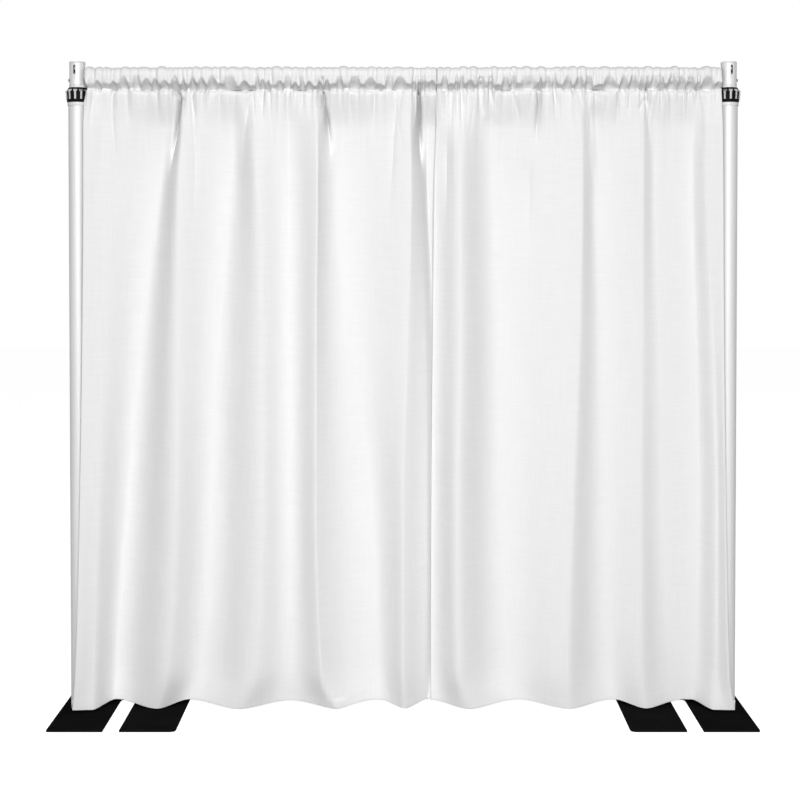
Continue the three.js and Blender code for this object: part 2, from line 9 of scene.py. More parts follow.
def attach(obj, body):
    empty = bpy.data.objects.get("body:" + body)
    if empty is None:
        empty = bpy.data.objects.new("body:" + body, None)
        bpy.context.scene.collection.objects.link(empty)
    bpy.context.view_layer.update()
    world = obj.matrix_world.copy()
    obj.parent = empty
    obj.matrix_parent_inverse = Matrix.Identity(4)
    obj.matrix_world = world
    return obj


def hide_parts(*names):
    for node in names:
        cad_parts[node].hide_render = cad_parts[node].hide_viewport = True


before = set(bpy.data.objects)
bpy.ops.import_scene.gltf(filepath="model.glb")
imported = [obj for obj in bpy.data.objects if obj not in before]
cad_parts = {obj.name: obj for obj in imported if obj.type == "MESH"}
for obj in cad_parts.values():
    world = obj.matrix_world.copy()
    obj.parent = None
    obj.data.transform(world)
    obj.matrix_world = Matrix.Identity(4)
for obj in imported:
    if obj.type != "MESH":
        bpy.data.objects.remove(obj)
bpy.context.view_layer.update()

# Free-standing pipe and drape backdrop: two telescopic uprights on steel plates, a telescopic
# crossbar that hooks into their slotted heads, and two gathered drape panels. Metres, +Z up, -Y to
# the front. A name that ends in _R is a radius, and one that ends in _FOOT, _TOP or _Z is a height
# over the floor.

SIDES = ((-1, "left"), (1, "right"))

# Base plates, each with a carrying slot that opens at the front
PLATE_DEPTH = 0.4
PLATE_THICK = 0.005
PLATE_OUTER = 0.0508
PLATE_INNER = 0.2992
PLATE_OUTER_CORNER = 0.005
PLATE_INNER_CORNER = 0.018
PLATE_EDGE = 0.0006
CARRY_WIDTH = 0.045
CARRY_LENGTH = 0.281
CARRY_CORNER = 0.014
CARRY_LIP = 0.0012
SCREW_MOUTH = [(0, -0.002), (0.0124, -0.002), (0.0057, 0.0053), (0, 0.0053)]

# Uprights
UPRIGHT_X = 0.9144
SEAT = 0.0003
TUBE_R = 0.0254
TUBE_WALL = 0.002
TUBE_FOOT = 0.0053
TUBE_TOP = 1.7477
TUBE_EDGE = 0.0005
SLEEVE_OUT_R = 0.02745
SLEEVE_IN_R = 0.0257
SLEEVE_FOOT = 1.7057
SLEEVE_TOP = 1.7474
SLEEVE_EDGE = 0.0006
CLUTCH_BORE_R = 0.020725
CLUTCH_BODY_R = 0.0231
CLUTCH_NECK_R = 0.0225
CLUTCH_LENGTH = 0.04
CLUTCH_STEP = 1.7512
CLUTCH_TOP = 1.7627
CLUTCH_EDGE = 0.0004

# Lock rings. The profile gives the radius and height of the outside, from the foot to the top.
RING_FOOT = 1.7146
RING_SHOULDER = 1.7449
RING_TOP = 1.7559
RING_PROFILE = [(0.0286, RING_FOOT), (0.0296, RING_FOOT + 0.0048), (0.032, RING_SHOULDER),
                (0.0244, RING_TOP)]
RING_BORE_R = 0.02775
RING_NECK_R = 0.0228
RING_NECK_FOOT = 1.7515
RING_EDGE = 0.0009
RIB_COUNT = 12
RIB_TURN = {"left": 0.4, "right": -1.0}
RIB_ROOT = -0.0008
RIB_EDGE = 0.00045
# Share of the ring's roundness that a rib's face follows
RIB_ROUND = 0.5
# Height of each row of a rib, half its width there, and how far it stands out
RIB_ROWS = [
    (RING_TOP - 0.0054, 0.0052, 0.0010), (RING_SHOULDER + 0.0009, 0.0052, 0.0012),
    (RING_SHOULDER - 0.0002, 0.0052, 0.0014), (RING_SHOULDER - 0.0004, 0.0027, 0.0014),
    (RING_SHOULDER - 0.010, 0.0026, 0.0017), (RING_FOOT + 0.0085, 0.0026, 0.0019),
]

# Slotted heads with their plugs and stop rivets
HEAD_R = 0.022225
HEAD_WALL = 0.0015
HEAD_FOOT = 1.763
HEAD_TOP = 1.824
HEAD_EDGE = 0.0004
SLOT_LOW = 1.792
SLOT_HIGH = 1.819
SLOT_WIDTH = 0.0064
SLOT_TURN = math.radians(11)
SLOT_EDGE = 0.00025
CUTTER_REACH = 0.03
CAP_TOP = 1.829
CAP_FOOT = CAP_TOP - 0.0047
CAP_SPIGOT_R = HEAD_R - HEAD_WALL - SEAT
# A plug from its core's foot up over the spigot and the rounded rim, as (radius, height)
CAP_OUTLINE = [
    (0, CAP_FOOT - 0.0181), (0.0100, CAP_FOOT - 0.0181), (0.0105, CAP_FOOT - 0.0176),
    (0.0105, CAP_FOOT - 0.0046), (CAP_SPIGOT_R, CAP_FOOT - 0.0046), (CAP_SPIGOT_R, CAP_FOOT),
    (HEAD_R - 0.0002, CAP_FOOT), (HEAD_R, CAP_FOOT + 0.0002), (HEAD_R, CAP_TOP - 0.0026),
    (HEAD_R - 0.0002, CAP_TOP - 0.0016), (HEAD_R - 0.0008, CAP_TOP - 0.0008),
    (HEAD_R - 0.0016, CAP_TOP - 0.0002), (HEAD_R - 0.0026, CAP_TOP), (0.012, CAP_TOP), (0, CAP_TOP),
]
RIVET_Z = 1.777
RIVET_HOLE_R = 0.0027
RIVET_SHANK_R = 0.0024
RIVET_CLINCH_R = 0.0036
RIVET_CLINCH = (0.0164, 0.0188)
RIVET_RIM_R = 0.0048
RIVET_RIM = 0.0003
RIVET_HEIGHT = 0.003
RIVET_DOME_R = 0.005
RIVET_DOME_RISE = 0.0027
RIVET_DOME_TURN = 1.45

# Crossbar
BAR_Z = 1.7887
BAR_START = 0.881475
BAR_R = 0.01905
BAR_INNER_R = 0.015875
BAR_WALL = 0.00165
BAR_OUTER_LENGTH = 1.70895
BAR_INNER_LENGTH = 1.57895
BAR_EDGE = 0.0004
PIN_HOLE_R = 0.0033
PIN_INSET = 0.0413
PIN_EDGE = 0.0002

# Cloth: its cut size, its hems, and how it lies where it is one layer on another
CLOTH_THICK = 0.0007
CUT_WIDTH = 1.22
HEM_Z = 0.016
HEM_TURN = 0.0011
HEM_BACK = 0.028
# Rows of the turned-up hem: height over its edge, and share of the turn that lies behind. The
# rows under HEM_FLAT are worked out at the edge's own level.
HEM_ROWS = [(HEM_BACK, 1.0), (HEM_BACK * 0.5, 1.0), (0.0012, 1.0), (0.0, 0.5)]
HEM_FLAT = 0.002
SIDE_TURNS = np.array([0.012, 0.006, 0.0008])
SIDE_LAYER = 0.00085
TAIL_DROP = 0.009
TAIL_LAYER = 0.0021
BACK_LAYER = 0.0019
BACK_SEAM = 0.0006

# Pocket round the crossbar, the seam below it, and the hollows that the gathers leave in it
POCKET_R = 0.021
POCKET_Z = 1.7882
POCKET_END = 0.8905
POCKET_CLOTH = 0.16
SEAM_Z = 1.7504
SEAM_FRONT = -0.021
SEAM_ARCH = 0.005
SEAM_WAVE = 0.0008
HOLLOW_DEPTH = 0.052
RIDGE_LIFT = 0.006
BAR_GAP = 0.0012
TOUCH = math.acos(POCKET_R / (POCKET_Z - SEAM_Z))
# Cloth used up on the way from the seam, as (before the stretch, along it)
POCKET_RUN = {"front": (0, 0.03), "round": (0.03, 0.09), "back": (0.12, 0.03), "tail": (0.15, 0.01)}
# How early the front comes forward on its way up, and the small leaning waves of the front and of
# the round over the bar
FRONT_POWER = 0.7
FRONT_WAVE = 0.0007
FRONT_WAVE_LEANS = (0.02, -0.03)
ROUND_WAVE = 0.0006
ROUND_WAVE_LEAN = 0.05
ROUND_WAVE_RUN = 0.2
# The ridge in front of the bar: share of its lift that is left behind the bar, share of the way
# round in which the rest goes, and how strongly a hollow sinks it, up to SINK_END of that way
RIDGE_KEPT = 0.2
RIDGE_RUN = 0.38
RIDGE_SINK = 1.4
SINK_END = 0.5
# Fullness of the puffs over the bar and at the start of the back, and what they lose on the way
# round and down the back
PUFFS_OVER = 0.8
PUFFS_ROUND_LOST = 0.2
PUFFS_BACK = 0.7
PUFFS_BACK_LOST = 0.5
# Shares of the front and of the way round in which that fullness changes, and how far the puffs
# have run from the seam on each
PUFFS_FRONT_RUN = 0.7
PUFFS_ROUND_RUN = 0.4
FRONT_RISE = 0.03
ROUND_RISE = 0.04
# The outer edge swings forward past the lock ring. Beside the ring the back of the pocket is drawn
# in, from DRAW_FROM of the way round and on down the back.
SWING = 0.0235
SWING_START = 0.864
SWING_RUN = 0.022
DRAW_START = 0.850
DRAW_END = 0.874
DRAW_FROM = 0.8
DRAW_RATE = 2.5
# Puffs of cloth between the pinches: least width, greatest height, and how blunt they are. Each
# puff draws its size, its skew and its fade down the cloth, and each pinch its drift.
PUFF_LEAST = 0.004
PUFF_MOST = 0.0085
PUFF_POWER = 2.3
PUFF_SIZES = (0.75, 1.2)
PUFF_SKEWS = (-0.35, 0.35)
PUFF_FADES = (0.03, 0.11)
PINCH_DRIFTS = (-0.006, 0.006)
DRIFT_RUN = 0.03
# Shares of a hollow's reach at its top and gained on the way down to the seam, how its reach and
# its depth grow on that way, and how blunt it is across
HOLLOW_REACH = 0.12
HOLLOW_GAIN = 1.05
HOLLOW_REACH_POWER = 0.7
HOLLOW_DEPTH_POWER = 0.6
HOLLOW_BLUNT = 2.6
# Spacing of the wandering waves along the cloth
BELLY_SPACINGS = (0.032, 0.075)
SWAY_SPACING = 0.045
LOW_SPACING = 0.024

# How a crease runs out: past its two ends in length, then over a share of its length. One from the
# seam has a short run at its top. A strong one opens to its wider side and a little to the other.
FOOT_PAST = 0.02
TOP_PAST = 0.01
CREASE_MARGIN = 0.03
FOOT_RUN_SHARE = 0.85
STRONG_RUN_SHARE = 0.7
TOP_RUN_SHARE = 0.4
SEAM_RUN = 0.012
OPEN_WIDE = 2.4
OPEN_LESS = 0.8
CREASE_POWER = 1.1
# Below the seam: the drop in which the gathers turn into folds, how much of the seam's depth goes
# on below it, and the small waves of the cloth
FOLD_RUN = 0.11
HOLLOW_KEPT = 0.2
HOLLOW_RUN = 0.005
HOLLOW_FADE_POWER = 1.2
FLARE = 0.8
FLARE_RUN = 0.009
SET_BACK = 0.0015
SET_BACK_RUN = 0.003
WANDER = 0.0005
WANDER_SHIFT = 0.13
LONG_WAVE = 0.0010
LONG_WAVE_RUN = 0.2
# The low hollow along the whole seam: its height and its share of the full depth, and how much
# these vary
LOW_HOLLOW = 0.0125
LOW_HOLLOW_WAVES = (0.004, 0.0045)
LOW_SHARE = 0.55
LOW_SHARE_WAVE = 0.4

# Columns and rows of the cloth's mesh
FRONT_ROWS = 20
ROUND_ROWS = 24
BACK_ROWS = 7
CREASE_REACH = 0.0042
CREASE_COLUMN = 0.00105
LEAST_COLUMN = 0.0006
SHEET_DROP = 1.72
FIRST_ROW = 0.0026
ROW_GROWTH = 1.032
LAST_ROW = 0.028
EXTRA_ROWS = [0.0015, 0.006, 0.014]
STEP_COUNT = 400


# Small tools for meshes

def new_piece(name, verts, faces, material, smooth=True):
    mesh = bpy.data.meshes.new(name)
    mesh.from_pydata([tuple(v) for v in verts], [], [tuple(f) for f in faces])
    mesh.validate()
    mesh.materials.append(material)
    if smooth:
        shade_smooth(mesh)
    mesh.update()
    return linked(name, mesh)


def linked(name, data):
    made = bpy.data.objects.new(name, data)
    bpy.context.scene.collection.objects.link(made)
    return made


def shade_smooth(mesh):
    mesh.polygons.foreach_set("use_smooth", [True] * len(mesh.polygons))


def even_normals(piece):
    shading = piece.modifiers.new("even_normals", "WEIGHTED_NORMAL")
    shading.keep_sharp = True
    shading.weight = 80
    return piece


def soft_edges(piece, width, segments=2, limit=35):
    bevel = piece.modifiers.new("soft_edges", "BEVEL")
    bevel.width = width
    bevel.segments = segments
    bevel.limit_method = "ANGLE"
    bevel.angle_limit = math.radians(limit)
    bevel.harden_normals = False
    return even_normals(piece)


def settled(piece):
    """Applies the piece's modifiers."""
    depsgraph = bpy.context.evaluated_depsgraph_get()
    done = bpy.data.meshes.new_from_object(piece.evaluated_get(depsgraph))
    piece.modifiers.clear()
    old = piece.data
    piece.data = done
    bpy.data.meshes.remove(old)
    return piece


def set_on(piece, body, slot_name, *nodes):
    """Lets the piece ride on a body, in place of the solids it stands for. The slot's name is not
    used.
    """
    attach(piece, body)
    if nodes:
        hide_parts(*nodes)
    return piece


def rounded(before, corner, after, ease, steps):
    """A short curve in place of a corner, which takes up less than half of each side."""
    before, after = before - corner, after - corner
    long_before, long_after = np.linalg.norm(before), np.linalg.norm(after)
    start = corner + before / long_before * min(ease, 0.45 * long_before)
    end = corner + after / long_after * min(ease, 0.45 * long_after)
    return [(1 - t) ** 2 * start + 2 * t * (1 - t) * corner + t * t * end
            for t in np.arange(steps + 1) / steps]


def eased(outline, ease, steps=3):
    """Rounds the corners of a closed outline, all alike or each by its own ease and steps."""
    points = [np.array(p, float) for p in outline]
    eases, counts = np.broadcast_to(ease, len(points)), np.broadcast_to(steps, len(points))
    curves = []
    for i, corner in enumerate(points):
        curves += rounded(points[i - 1], corner, points[(i + 1) % len(points)], eases[i], counts[i])
    return curves


def spun(outline, sides):
    """The points of a (radius, height) outline, repeated round the axis."""
    angles = [2 * math.pi * i / sides for i in range(sides)]
    return [(radius * math.cos(a), radius * math.sin(a), height)
            for a in angles for radius, height in outline]


def turned(name, outline, material, sides=96, along="Z", place=(0, 0, 0)):
    """A turned hollow piece from a closed outline of (radius, height) points."""
    count = len(outline)
    faces = []
    for i in range(sides):
        here, there = i * count, (i + 1) % sides * count
        for k in range(count):
            m = (k + 1) % count
            faces.append((here + k, there + k, there + m, here + m))
    return placed_round(new_piece(name, spun(outline, sides), faces, material), along, place)


def turned_solid(name, outline, material, sides=64, along="Z", place=(0, 0, 0)):
    """A turned piece without a bore, from an open outline that runs from axis to axis."""
    rims = outline[1:-1]
    count = len(rims)
    verts = [(0, 0, outline[0][1]), (0, 0, outline[-1][1]), *spun(rims, sides)]
    faces = []
    for i in range(sides):
        here, there = 2 + i * count, 2 + (i + 1) % sides * count
        faces.append((0, there, here))
        faces.append((1, here + count - 1, there + count - 1))
        for k in range(count - 1):
            faces.append((here + k, there + k, there + k + 1, here + k + 1))
    return placed_round(new_piece(name, verts, faces, material), along, place)


def placed_round(piece, along, place):
    turn = Matrix.Rotation(math.radians(90), 4, "Y") if along == "X" else Matrix.Identity(4)
    piece.data.transform(Matrix.Translation(Vector(place)) @ turn)
    work = bmesh.new()
    work.from_mesh(piece.data)
    bmesh.ops.recalc_face_normals(work, faces=work.faces)
    work.to_mesh(piece.data)
    work.free()
    return even_normals(piece)


def hollow(outer, inner, foot, top):
    return [(outer, foot), (outer, top), (inner, top), (inner, foot)]


def drill(name, radius, material, sides=24, along="Z", place=(0, 0, 0)):
    """A round cutter that reaches through a tube on both sides."""
    low, high = -CUTTER_REACH, CUTTER_REACH
    outline = [(0, low), (radius, low), (radius, high), (0, high)]
    return turned_solid(name, outline, material, sides, along, place)


def plate_from(name, outline, foot, top, material):
    """A flat plate from a closed outline of (x, y) points, between two heights."""
    work = bmesh.new()
    ring = [work.verts.new((x, y, foot)) for x, y in outline]
    grown = bmesh.ops.extrude_face_region(work, geom=[work.faces.new(ring)])
    raised = [v for v in grown["geom"] if isinstance(v, bmesh.types.BMVert)]
    bmesh.ops.translate(work, verts=raised, vec=(0, 0, top - foot))
    bmesh.ops.recalc_face_normals(work, faces=work.faces)
    mesh = bpy.data.meshes.new(name)
    work.to_mesh(mesh)
    work.free()
    mesh.materials.append(material)
    return linked(name, mesh)


def cut_away(piece, cutters):
    """Cuts the form of each cutter out of the piece, and leaves no cutter behind."""
    piece.modifiers.clear()
    for cutter in cutters:
        cutter.modifiers.clear()
        cut = piece.modifiers.new("cut", "BOOLEAN")
        cut.operation = "DIFFERENCE"
        cut.solver = "EXACT"
        cut.object = cutter
    settled(piece)
    for cutter in cutters:
        old = cutter.data
        bpy.data.objects.remove(cutter)
        bpy.data.meshes.remove(old)
    shade_smooth(piece.data)
    return piece


def arc(centre, radius, start, end, steps):
    angles = [start + (end - start) * k / steps for k in range(steps + 1)]
    return [(centre[0] + radius * math.cos(a), centre[1] + radius * math.sin(a)) for a in angles]


def slot_outline(width, low, high, steps=10):
    half = width / 2
    return (arc((0, high - half), half, 0, math.pi, steps)
            + arc((0, low + half), half, math.pi, 2 * math.pi, steps))


# Nodes of the finishes

FLOAT, COLOUR, VECTOR = "NodeSocketFloat", "NodeSocketColor", "NodeSocketVector"


def add_node(tree, kind, **values):
    """A node with its settings, and its sockets, whose names have an underscore for each space."""
    made = tree.nodes.new("ShaderNode" + kind)
    for key, value in values.items():
        socket = key.replace("_", " ")
        if socket in made.inputs:
            made.inputs[socket].default_value = value
        else:
            setattr(made, key, value)
    return made


def wire(tree, *links):
    """Joins nodes: each link names a node and its output, then a node and its input."""
    for start, output, end, socket in links:
        tree.links.new(start.outputs[output], end.inputs[socket])


class Finish:
    """A material with its shader, and short ways to add and join its nodes."""

    def __init__(self, name, **settings):
        self.material = bpy.data.materials.new(name)
        self.material.use_nodes = True
        self.tree = self.material.node_tree
        self.shader = next(n for n in self.tree.nodes if n.type == "BSDF_PRINCIPLED")
        for socket, value in settings.items():
            self.shader.inputs[socket.replace("_", " ")].default_value = value

    def node(self, kind, **values):
        return add_node(self.tree, kind, **values)

    def effect(self, group, **values):
        return add_node(self.tree, "Group", node_tree=group, **values)

    def wire(self, *links):
        wire(self.tree, *links)

    def bump(self, source, output, strength, distance):
        bump = self.node("Bump", Strength=strength, Distance=distance)
        self.wire((source, output, bump, "Height"), (bump, "Normal", self.shader, "Normal"))


def effect_group(name, inputs, outputs):
    """A shader group with its ends. Inputs are (label, kind, value), outputs (label, kind)."""
    group = bpy.data.node_groups.new(name, "ShaderNodeTree")
    for label, kind, value in inputs:
        socket = group.interface.new_socket(name=label, in_out="INPUT", socket_type=kind)
        socket.default_value = value
    for label, kind in outputs:
        group.interface.new_socket(name=label, in_out="OUTPUT", socket_type=kind)
    return group, group.nodes.new("NodeGroupInput"), group.nodes.new("NodeGroupOutput")


def colour_shift_effect():
    """Cloudy change from one colour to another, with finer specks in it."""
    group, ends, out = effect_group(
        "colour_shift",
        [("Colour", COLOUR, (0.5, 0.5, 0.5, 1)), ("Other Colour", COLOUR, (0.4, 0.4, 0.4, 1)),
         ("Cloud Scale", FLOAT, 12.0), ("Speck Scale", FLOAT, 900.0)],
        [("Colour", COLOUR), ("Mask", FLOAT)])
    place = add_node(group, "TexCoord")
    cloud = add_node(group, "TexNoise", Detail=3.0, Roughness=0.55)
    speck = add_node(group, "TexNoise", Detail=2.0, Roughness=0.5)
    both = add_node(group, "Math", operation="MULTIPLY")
    spread = add_node(group, "MapRange", From_Min=0.16, From_Max=0.36)
    mix = add_node(group, "Mix", data_type="RGBA")
    wire(group, (place, "Object", cloud, "Vector"), (ends, "Cloud Scale", cloud, "Scale"),
         (place, "Object", speck, "Vector"), (ends, "Speck Scale", speck, "Scale"),
         (cloud, "Fac", both, 0), (speck, "Fac", both, 1), (both, 0, spread, "Value"),
         (spread, "Result", mix, "Factor"), (ends, "Colour", mix, "A"),
         (ends, "Other Colour", mix, "B"), (mix, "Result", out, "Colour"),
         (spread, "Result", out, "Mask"))
    return group


def edge_rub_effect():
    """A mask that is high where edges stand out and handling has rubbed them."""
    group, ends, out = effect_group(
        "edge_rub", [("Reach", FLOAT, 0.0008), ("Break Scale", FLOAT, 300.0)], [("Mask", FLOAT)])
    bevel = add_node(group, "Bevel", samples=4)
    geometry = add_node(group, "NewGeometry")
    turn = add_node(group, "VectorMath", operation="DOT_PRODUCT")
    bend = add_node(group, "MapRange", From_Min=0.995, From_Max=0.93)
    place = add_node(group, "TexCoord")
    breaks = add_node(group, "TexNoise", Detail=3.0, Roughness=0.6)
    bare = add_node(group, "MapRange", From_Min=0.42, From_Max=0.62)
    both = add_node(group, "Math", operation="MULTIPLY")
    wire(group, (ends, "Reach", bevel, "Radius"), (bevel, "Normal", turn, 0),
         (geometry, "Normal", turn, 1), (turn, "Value", bend, "Value"),
         (place, "Object", breaks, "Vector"), (ends, "Break Scale", breaks, "Scale"),
         (breaks, "Fac", bare, "Value"), (bend, "Result", both, 0), (bare, "Result", both, 1),
         (both, 0, out, "Mask"))
    return group


def fine_grain_effect():
    """Fine pitted height of a powder coat or of moulded plastic."""
    group, ends, out = effect_group(
        "fine_grain",
        [("Grain Scale", FLOAT, 1500.0), ("Wave Scale", FLOAT, 160.0), ("Wave Share", FLOAT, 0.3)],
        [("Height", FLOAT)])
    place = add_node(group, "TexCoord")
    grain = add_node(group, "TexNoise", Detail=2.0, Roughness=0.5)
    wave = add_node(group, "TexNoise", Detail=1.0, Roughness=0.5)
    mix = add_node(group, "Mix", data_type="FLOAT")
    wire(group, (place, "Object", grain, "Vector"), (ends, "Grain Scale", grain, "Scale"),
         (place, "Object", wave, "Vector"), (ends, "Wave Scale", wave, "Scale"),
         (ends, "Wave Share", mix, "Factor"), (grain, "Fac", mix, "A"), (wave, "Fac", mix, "B"),
         (mix, "Result", out, "Height"))
    return group


def drawn_lines_effect():
    """Fine lines that drawing leaves along a tube. Stretch makes the noise long one way."""
    group, ends, out = effect_group(
        "drawn_lines",
        [("Stretch", VECTOR, (1.0, 1.0, 0.01)), ("Line Scale", FLOAT, 1400.0),
         ("Streak Scale", FLOAT, 220.0)],
        [("Height", FLOAT), ("Mask", FLOAT)])
    place = add_node(group, "TexCoord")
    along = add_node(group, "VectorMath", operation="MULTIPLY")
    lines = add_node(group, "TexNoise", Detail=2.0, Roughness=0.6)
    streaks = add_node(group, "TexNoise", Detail=3.0, Roughness=0.6)
    spread = add_node(group, "MapRange", From_Min=0.3, From_Max=0.7)
    wire(group, (place, "Object", along, 0), (ends, "Stretch", along, 1),
         (along, "Vector", lines, "Vector"), (ends, "Line Scale", lines, "Scale"),
         (along, "Vector", streaks, "Vector"), (ends, "Streak Scale", streaks, "Scale"),
         (streaks, "Fac", spread, "Value"), (lines, "Fac", out, "Height"),
         (spread, "Result", out, "Mask"))
    return group


colour_shift = colour_shift_effect()
edge_rub = edge_rub_effect()
fine_grain = fine_grain_effect()
drawn_lines = drawn_lines_effect()


# Finishes

def grained_finish(name, colour, other, rubbed, roughness, cloud, speck, reach, breaks,
                   grain, wave, wave_share, strength, distance, **shader):
    """A cloudy colour on a fine grain, with rubbed edges and a roughness that follows the cloud."""
    finish = Finish(name, **shader)
    shift = finish.effect(colour_shift, Colour=(*colour, 1), Other_Colour=(*other, 1),
                          Cloud_Scale=cloud, Speck_Scale=speck)
    rub = finish.effect(edge_rub, Reach=reach, Break_Scale=breaks)
    mix = finish.node("Mix", data_type="RGBA", B=(*rubbed, 1))
    rough = finish.node("MapRange", To_Min=roughness[0], To_Max=roughness[1])
    height = finish.effect(fine_grain, Grain_Scale=grain, Wave_Scale=wave, Wave_Share=wave_share)
    finish.wire((rub, "Mask", mix, "Factor"), (shift, "Colour", mix, "A"),
                (mix, "Result", finish.shader, "Base Color"), (shift, "Mask", rough, "Value"),
                (rough, "Result", finish.shader, "Roughness"))
    finish.bump(height, "Height", strength, distance)
    return finish.material


def aluminium_finish(name, stretch):
    """Satin anodised aluminium with fine drawn lines along the tube."""
    finish = Finish(name, Metallic=0.3, Specular_IOR_Level=0.3)
    lines = finish.effect(drawn_lines, Stretch=stretch)
    mix = finish.node("Mix", data_type="RGBA",
                      A=(0.68, 0.683, 0.688, 1), B=(0.76, 0.762, 0.766, 1))
    rub = finish.effect(edge_rub, Reach=0.0006, Break_Scale=700.0)
    bright = finish.node("Mix", data_type="RGBA", B=(0.93, 0.93, 0.935, 1))
    rough = finish.node("MapRange", To_Min=0.52, To_Max=0.62)
    finish.wire((lines, "Mask", mix, "Factor"), (rub, "Mask", bright, "Factor"),
                (mix, "Result", bright, "A"), (bright, "Result", finish.shader, "Base Color"),
                (lines, "Mask", rough, "Value"), (rough, "Result", finish.shader, "Roughness"))
    finish.bump(lines, "Height", 0.12, 0.0001)
    return finish.material


def cloth_finish(name, pitch=0.0009):
    """Plain-woven white polyester: warp and weft on the cloth's own places, with thicker yarns."""
    finish = Finish(name, Metallic=0.0, Roughness=0.9, Specular_IOR_Level=0.0)
    place = finish.node("Attribute", attribute_name="cloth_place")
    split = finish.node("SeparateXYZ")
    over = finish.node("Math", operation="MULTIPLY")
    yarn = finish.node("Math", operation="ADD")
    height = finish.node("Math", operation="MULTIPLY_ADD")
    height.inputs[1].default_value = 0.5
    tone = finish.node("MapRange", From_Min=0.3, From_Max=1.6)
    mix = finish.node("Mix", data_type="RGBA",
                      A=(0.80, 0.80, 0.805, 1), B=(0.90, 0.90, 0.903, 1))
    for side, axis in enumerate(("X", "Y")):
        phase = finish.node("Math", operation="MULTIPLY")
        phase.inputs[1].default_value = 2 * math.pi / pitch
        thread = finish.node("Math", operation="SINE")
        finish.wire((split, axis, phase, 0), (phase, 0, thread, 0), (thread, 0, over, side))
    for side, (scale, detail, stretch) in enumerate((
            (220, 3, (1.0, 0.035, 1.0)), (260, 2, (0.035, 1.0, 1.0)))):
        mapping = finish.node("Mapping", Scale=stretch)
        noise = finish.node("TexNoise", Scale=scale, Detail=detail, Roughness=0.6)
        finish.wire((place, "Vector", mapping, "Vector"), (mapping, "Vector", noise, "Vector"),
                    (noise, "Fac", yarn, side))
    finish.wire((place, "Vector", split, "Vector"), (over, 0, height, 0), (yarn, 0, height, 2),
                (height, 0, tone, "Value"), (tone, "Result", mix, "Factor"),
                (mix, "Result", finish.shader, "Base Color"))
    finish.bump(height, 0, 0.16, 0.0002)
    return finish.material


# Black powder coat with a fine orange-peel surface, rubbed a little along its edges
black_steel = grained_finish(
    "black_powder_coat", (0.0065, 0.0065, 0.0068), (0.0095, 0.0095, 0.0098), (0.035, 0.035, 0.036),
    roughness=(0.44, 0.56), cloud=9, speck=1100, reach=0.0007, breaks=260, grain=1700, wave=420,
    wave_share=0.45, strength=0.35, distance=0.0002, Metallic=0.0, Specular_IOR_Level=0.0)
# Black moulded plastic of the lock rings
ring_body = grained_finish(
    "ring_plastic", (0.004, 0.004, 0.0044), (0.007, 0.007, 0.0075), (0.03, 0.03, 0.031),
    roughness=(0.5, 0.62), cloud=60, speck=1800, reach=0.0004, breaks=500, grain=2600, wave=500,
    wave_share=0.2, strength=0.3, distance=0.0001, Metallic=0.0, Specular_IOR_Level=0.06)
# Grip ribs in a bright metallic grey with lighter rubbed edges: a painted highlight that stands in
# for the lamp's reflection on black plastic ribs
painted_highlight_ribs = grained_finish(
    "ribs_painted_highlight", (0.54, 0.54, 0.545), (0.42, 0.42, 0.425), (0.84, 0.84, 0.84),
    roughness=(0.24, 0.36), cloud=160, speck=1800, reach=0.0004, breaks=500, grain=2600, wave=500,
    wave_share=0.3, strength=0.06, distance=0.0001, Metallic=0.85)
# Bright zinc plate with a faint bluish cloud
zinc = grained_finish(
    "zinc_plate", (0.52, 0.53, 0.55), (0.42, 0.43, 0.45), (0.68, 0.68, 0.69),
    roughness=(0.26, 0.42), cloud=45, speck=1300, reach=0.0005, breaks=420, grain=1200, wave=300,
    wave_share=0.5, strength=0.12, distance=0.0001, Metallic=1.0)
# Dark zinc of the stop rivets
rivet_zinc = grained_finish(
    "dark_rivet", (0.035, 0.035, 0.037), (0.055, 0.055, 0.058), (0.35, 0.35, 0.36),
    roughness=(0.28, 0.4), cloud=120, speck=1600, reach=0.0006, breaks=800, grain=1500, wave=500,
    wave_share=0.4, strength=0.12, distance=0.0001, Metallic=0.6)
# Pale moulded nylon
nylon = grained_finish(
    "pale_nylon", (0.82, 0.82, 0.81), (0.76, 0.76, 0.75), (0.86, 0.86, 0.855),
    roughness=(0.38, 0.5), cloud=30, speck=1500, reach=0.0006, breaks=500, grain=1900, wave=380,
    wave_share=0.4, strength=0.12, distance=0.0001, Metallic=0.0, Subsurface_Weight=0.08,
    Subsurface_Radius=(0.002, 0.002, 0.002))
aluminium_up = aluminium_finish("aluminium_upright", (1.0, 1.0, 0.01))
aluminium_across = aluminium_finish("aluminium_crossbar", (0.01, 1.0, 1.0))
white_cloth = cloth_finish("white_polyester")


# Camera, light and floor

CAMERA_PLACE = (0, -4.166, 1.332)
CAMERA_DIP = 1.282
CAMERA_LENS = 66.575
CAMERA_SHIFT = (-0.0038, -0.16)
FLOOR = [(-14, -12, 0), (14, -12, 0), (14, 14, 0), (-14, 14, 0)]
WHITE = (1, 1, 1, 1)


def make_camera():
    lens = bpy.data.cameras.new("front_camera")
    lens.lens = CAMERA_LENS
    lens.sensor_width = 36
    lens.shift_x, lens.shift_y = CAMERA_SHIFT
    lens.clip_start = 0.1
    lens.clip_end = 60
    camera = linked("front_camera", lens)
    camera.location = CAMERA_PLACE
    camera.rotation_euler = (math.radians(90 - CAMERA_DIP), 0, 0)
    bpy.context.scene.camera = camera


def soft_box(name, place, aim, width, height, power, spread=180):
    lamp = bpy.data.lights.new(name, "AREA")
    lamp.spread = math.radians(spread)
    lamp.shape = "RECTANGLE"
    lamp.size = width
    lamp.size_y = height
    lamp.energy = power
    box = linked(name, lamp)
    box.location = place
    box.rotation_euler = (Vector(aim) - Vector(place)).to_track_quat("-Z", "Y").to_euler()
    box.visible_camera = False


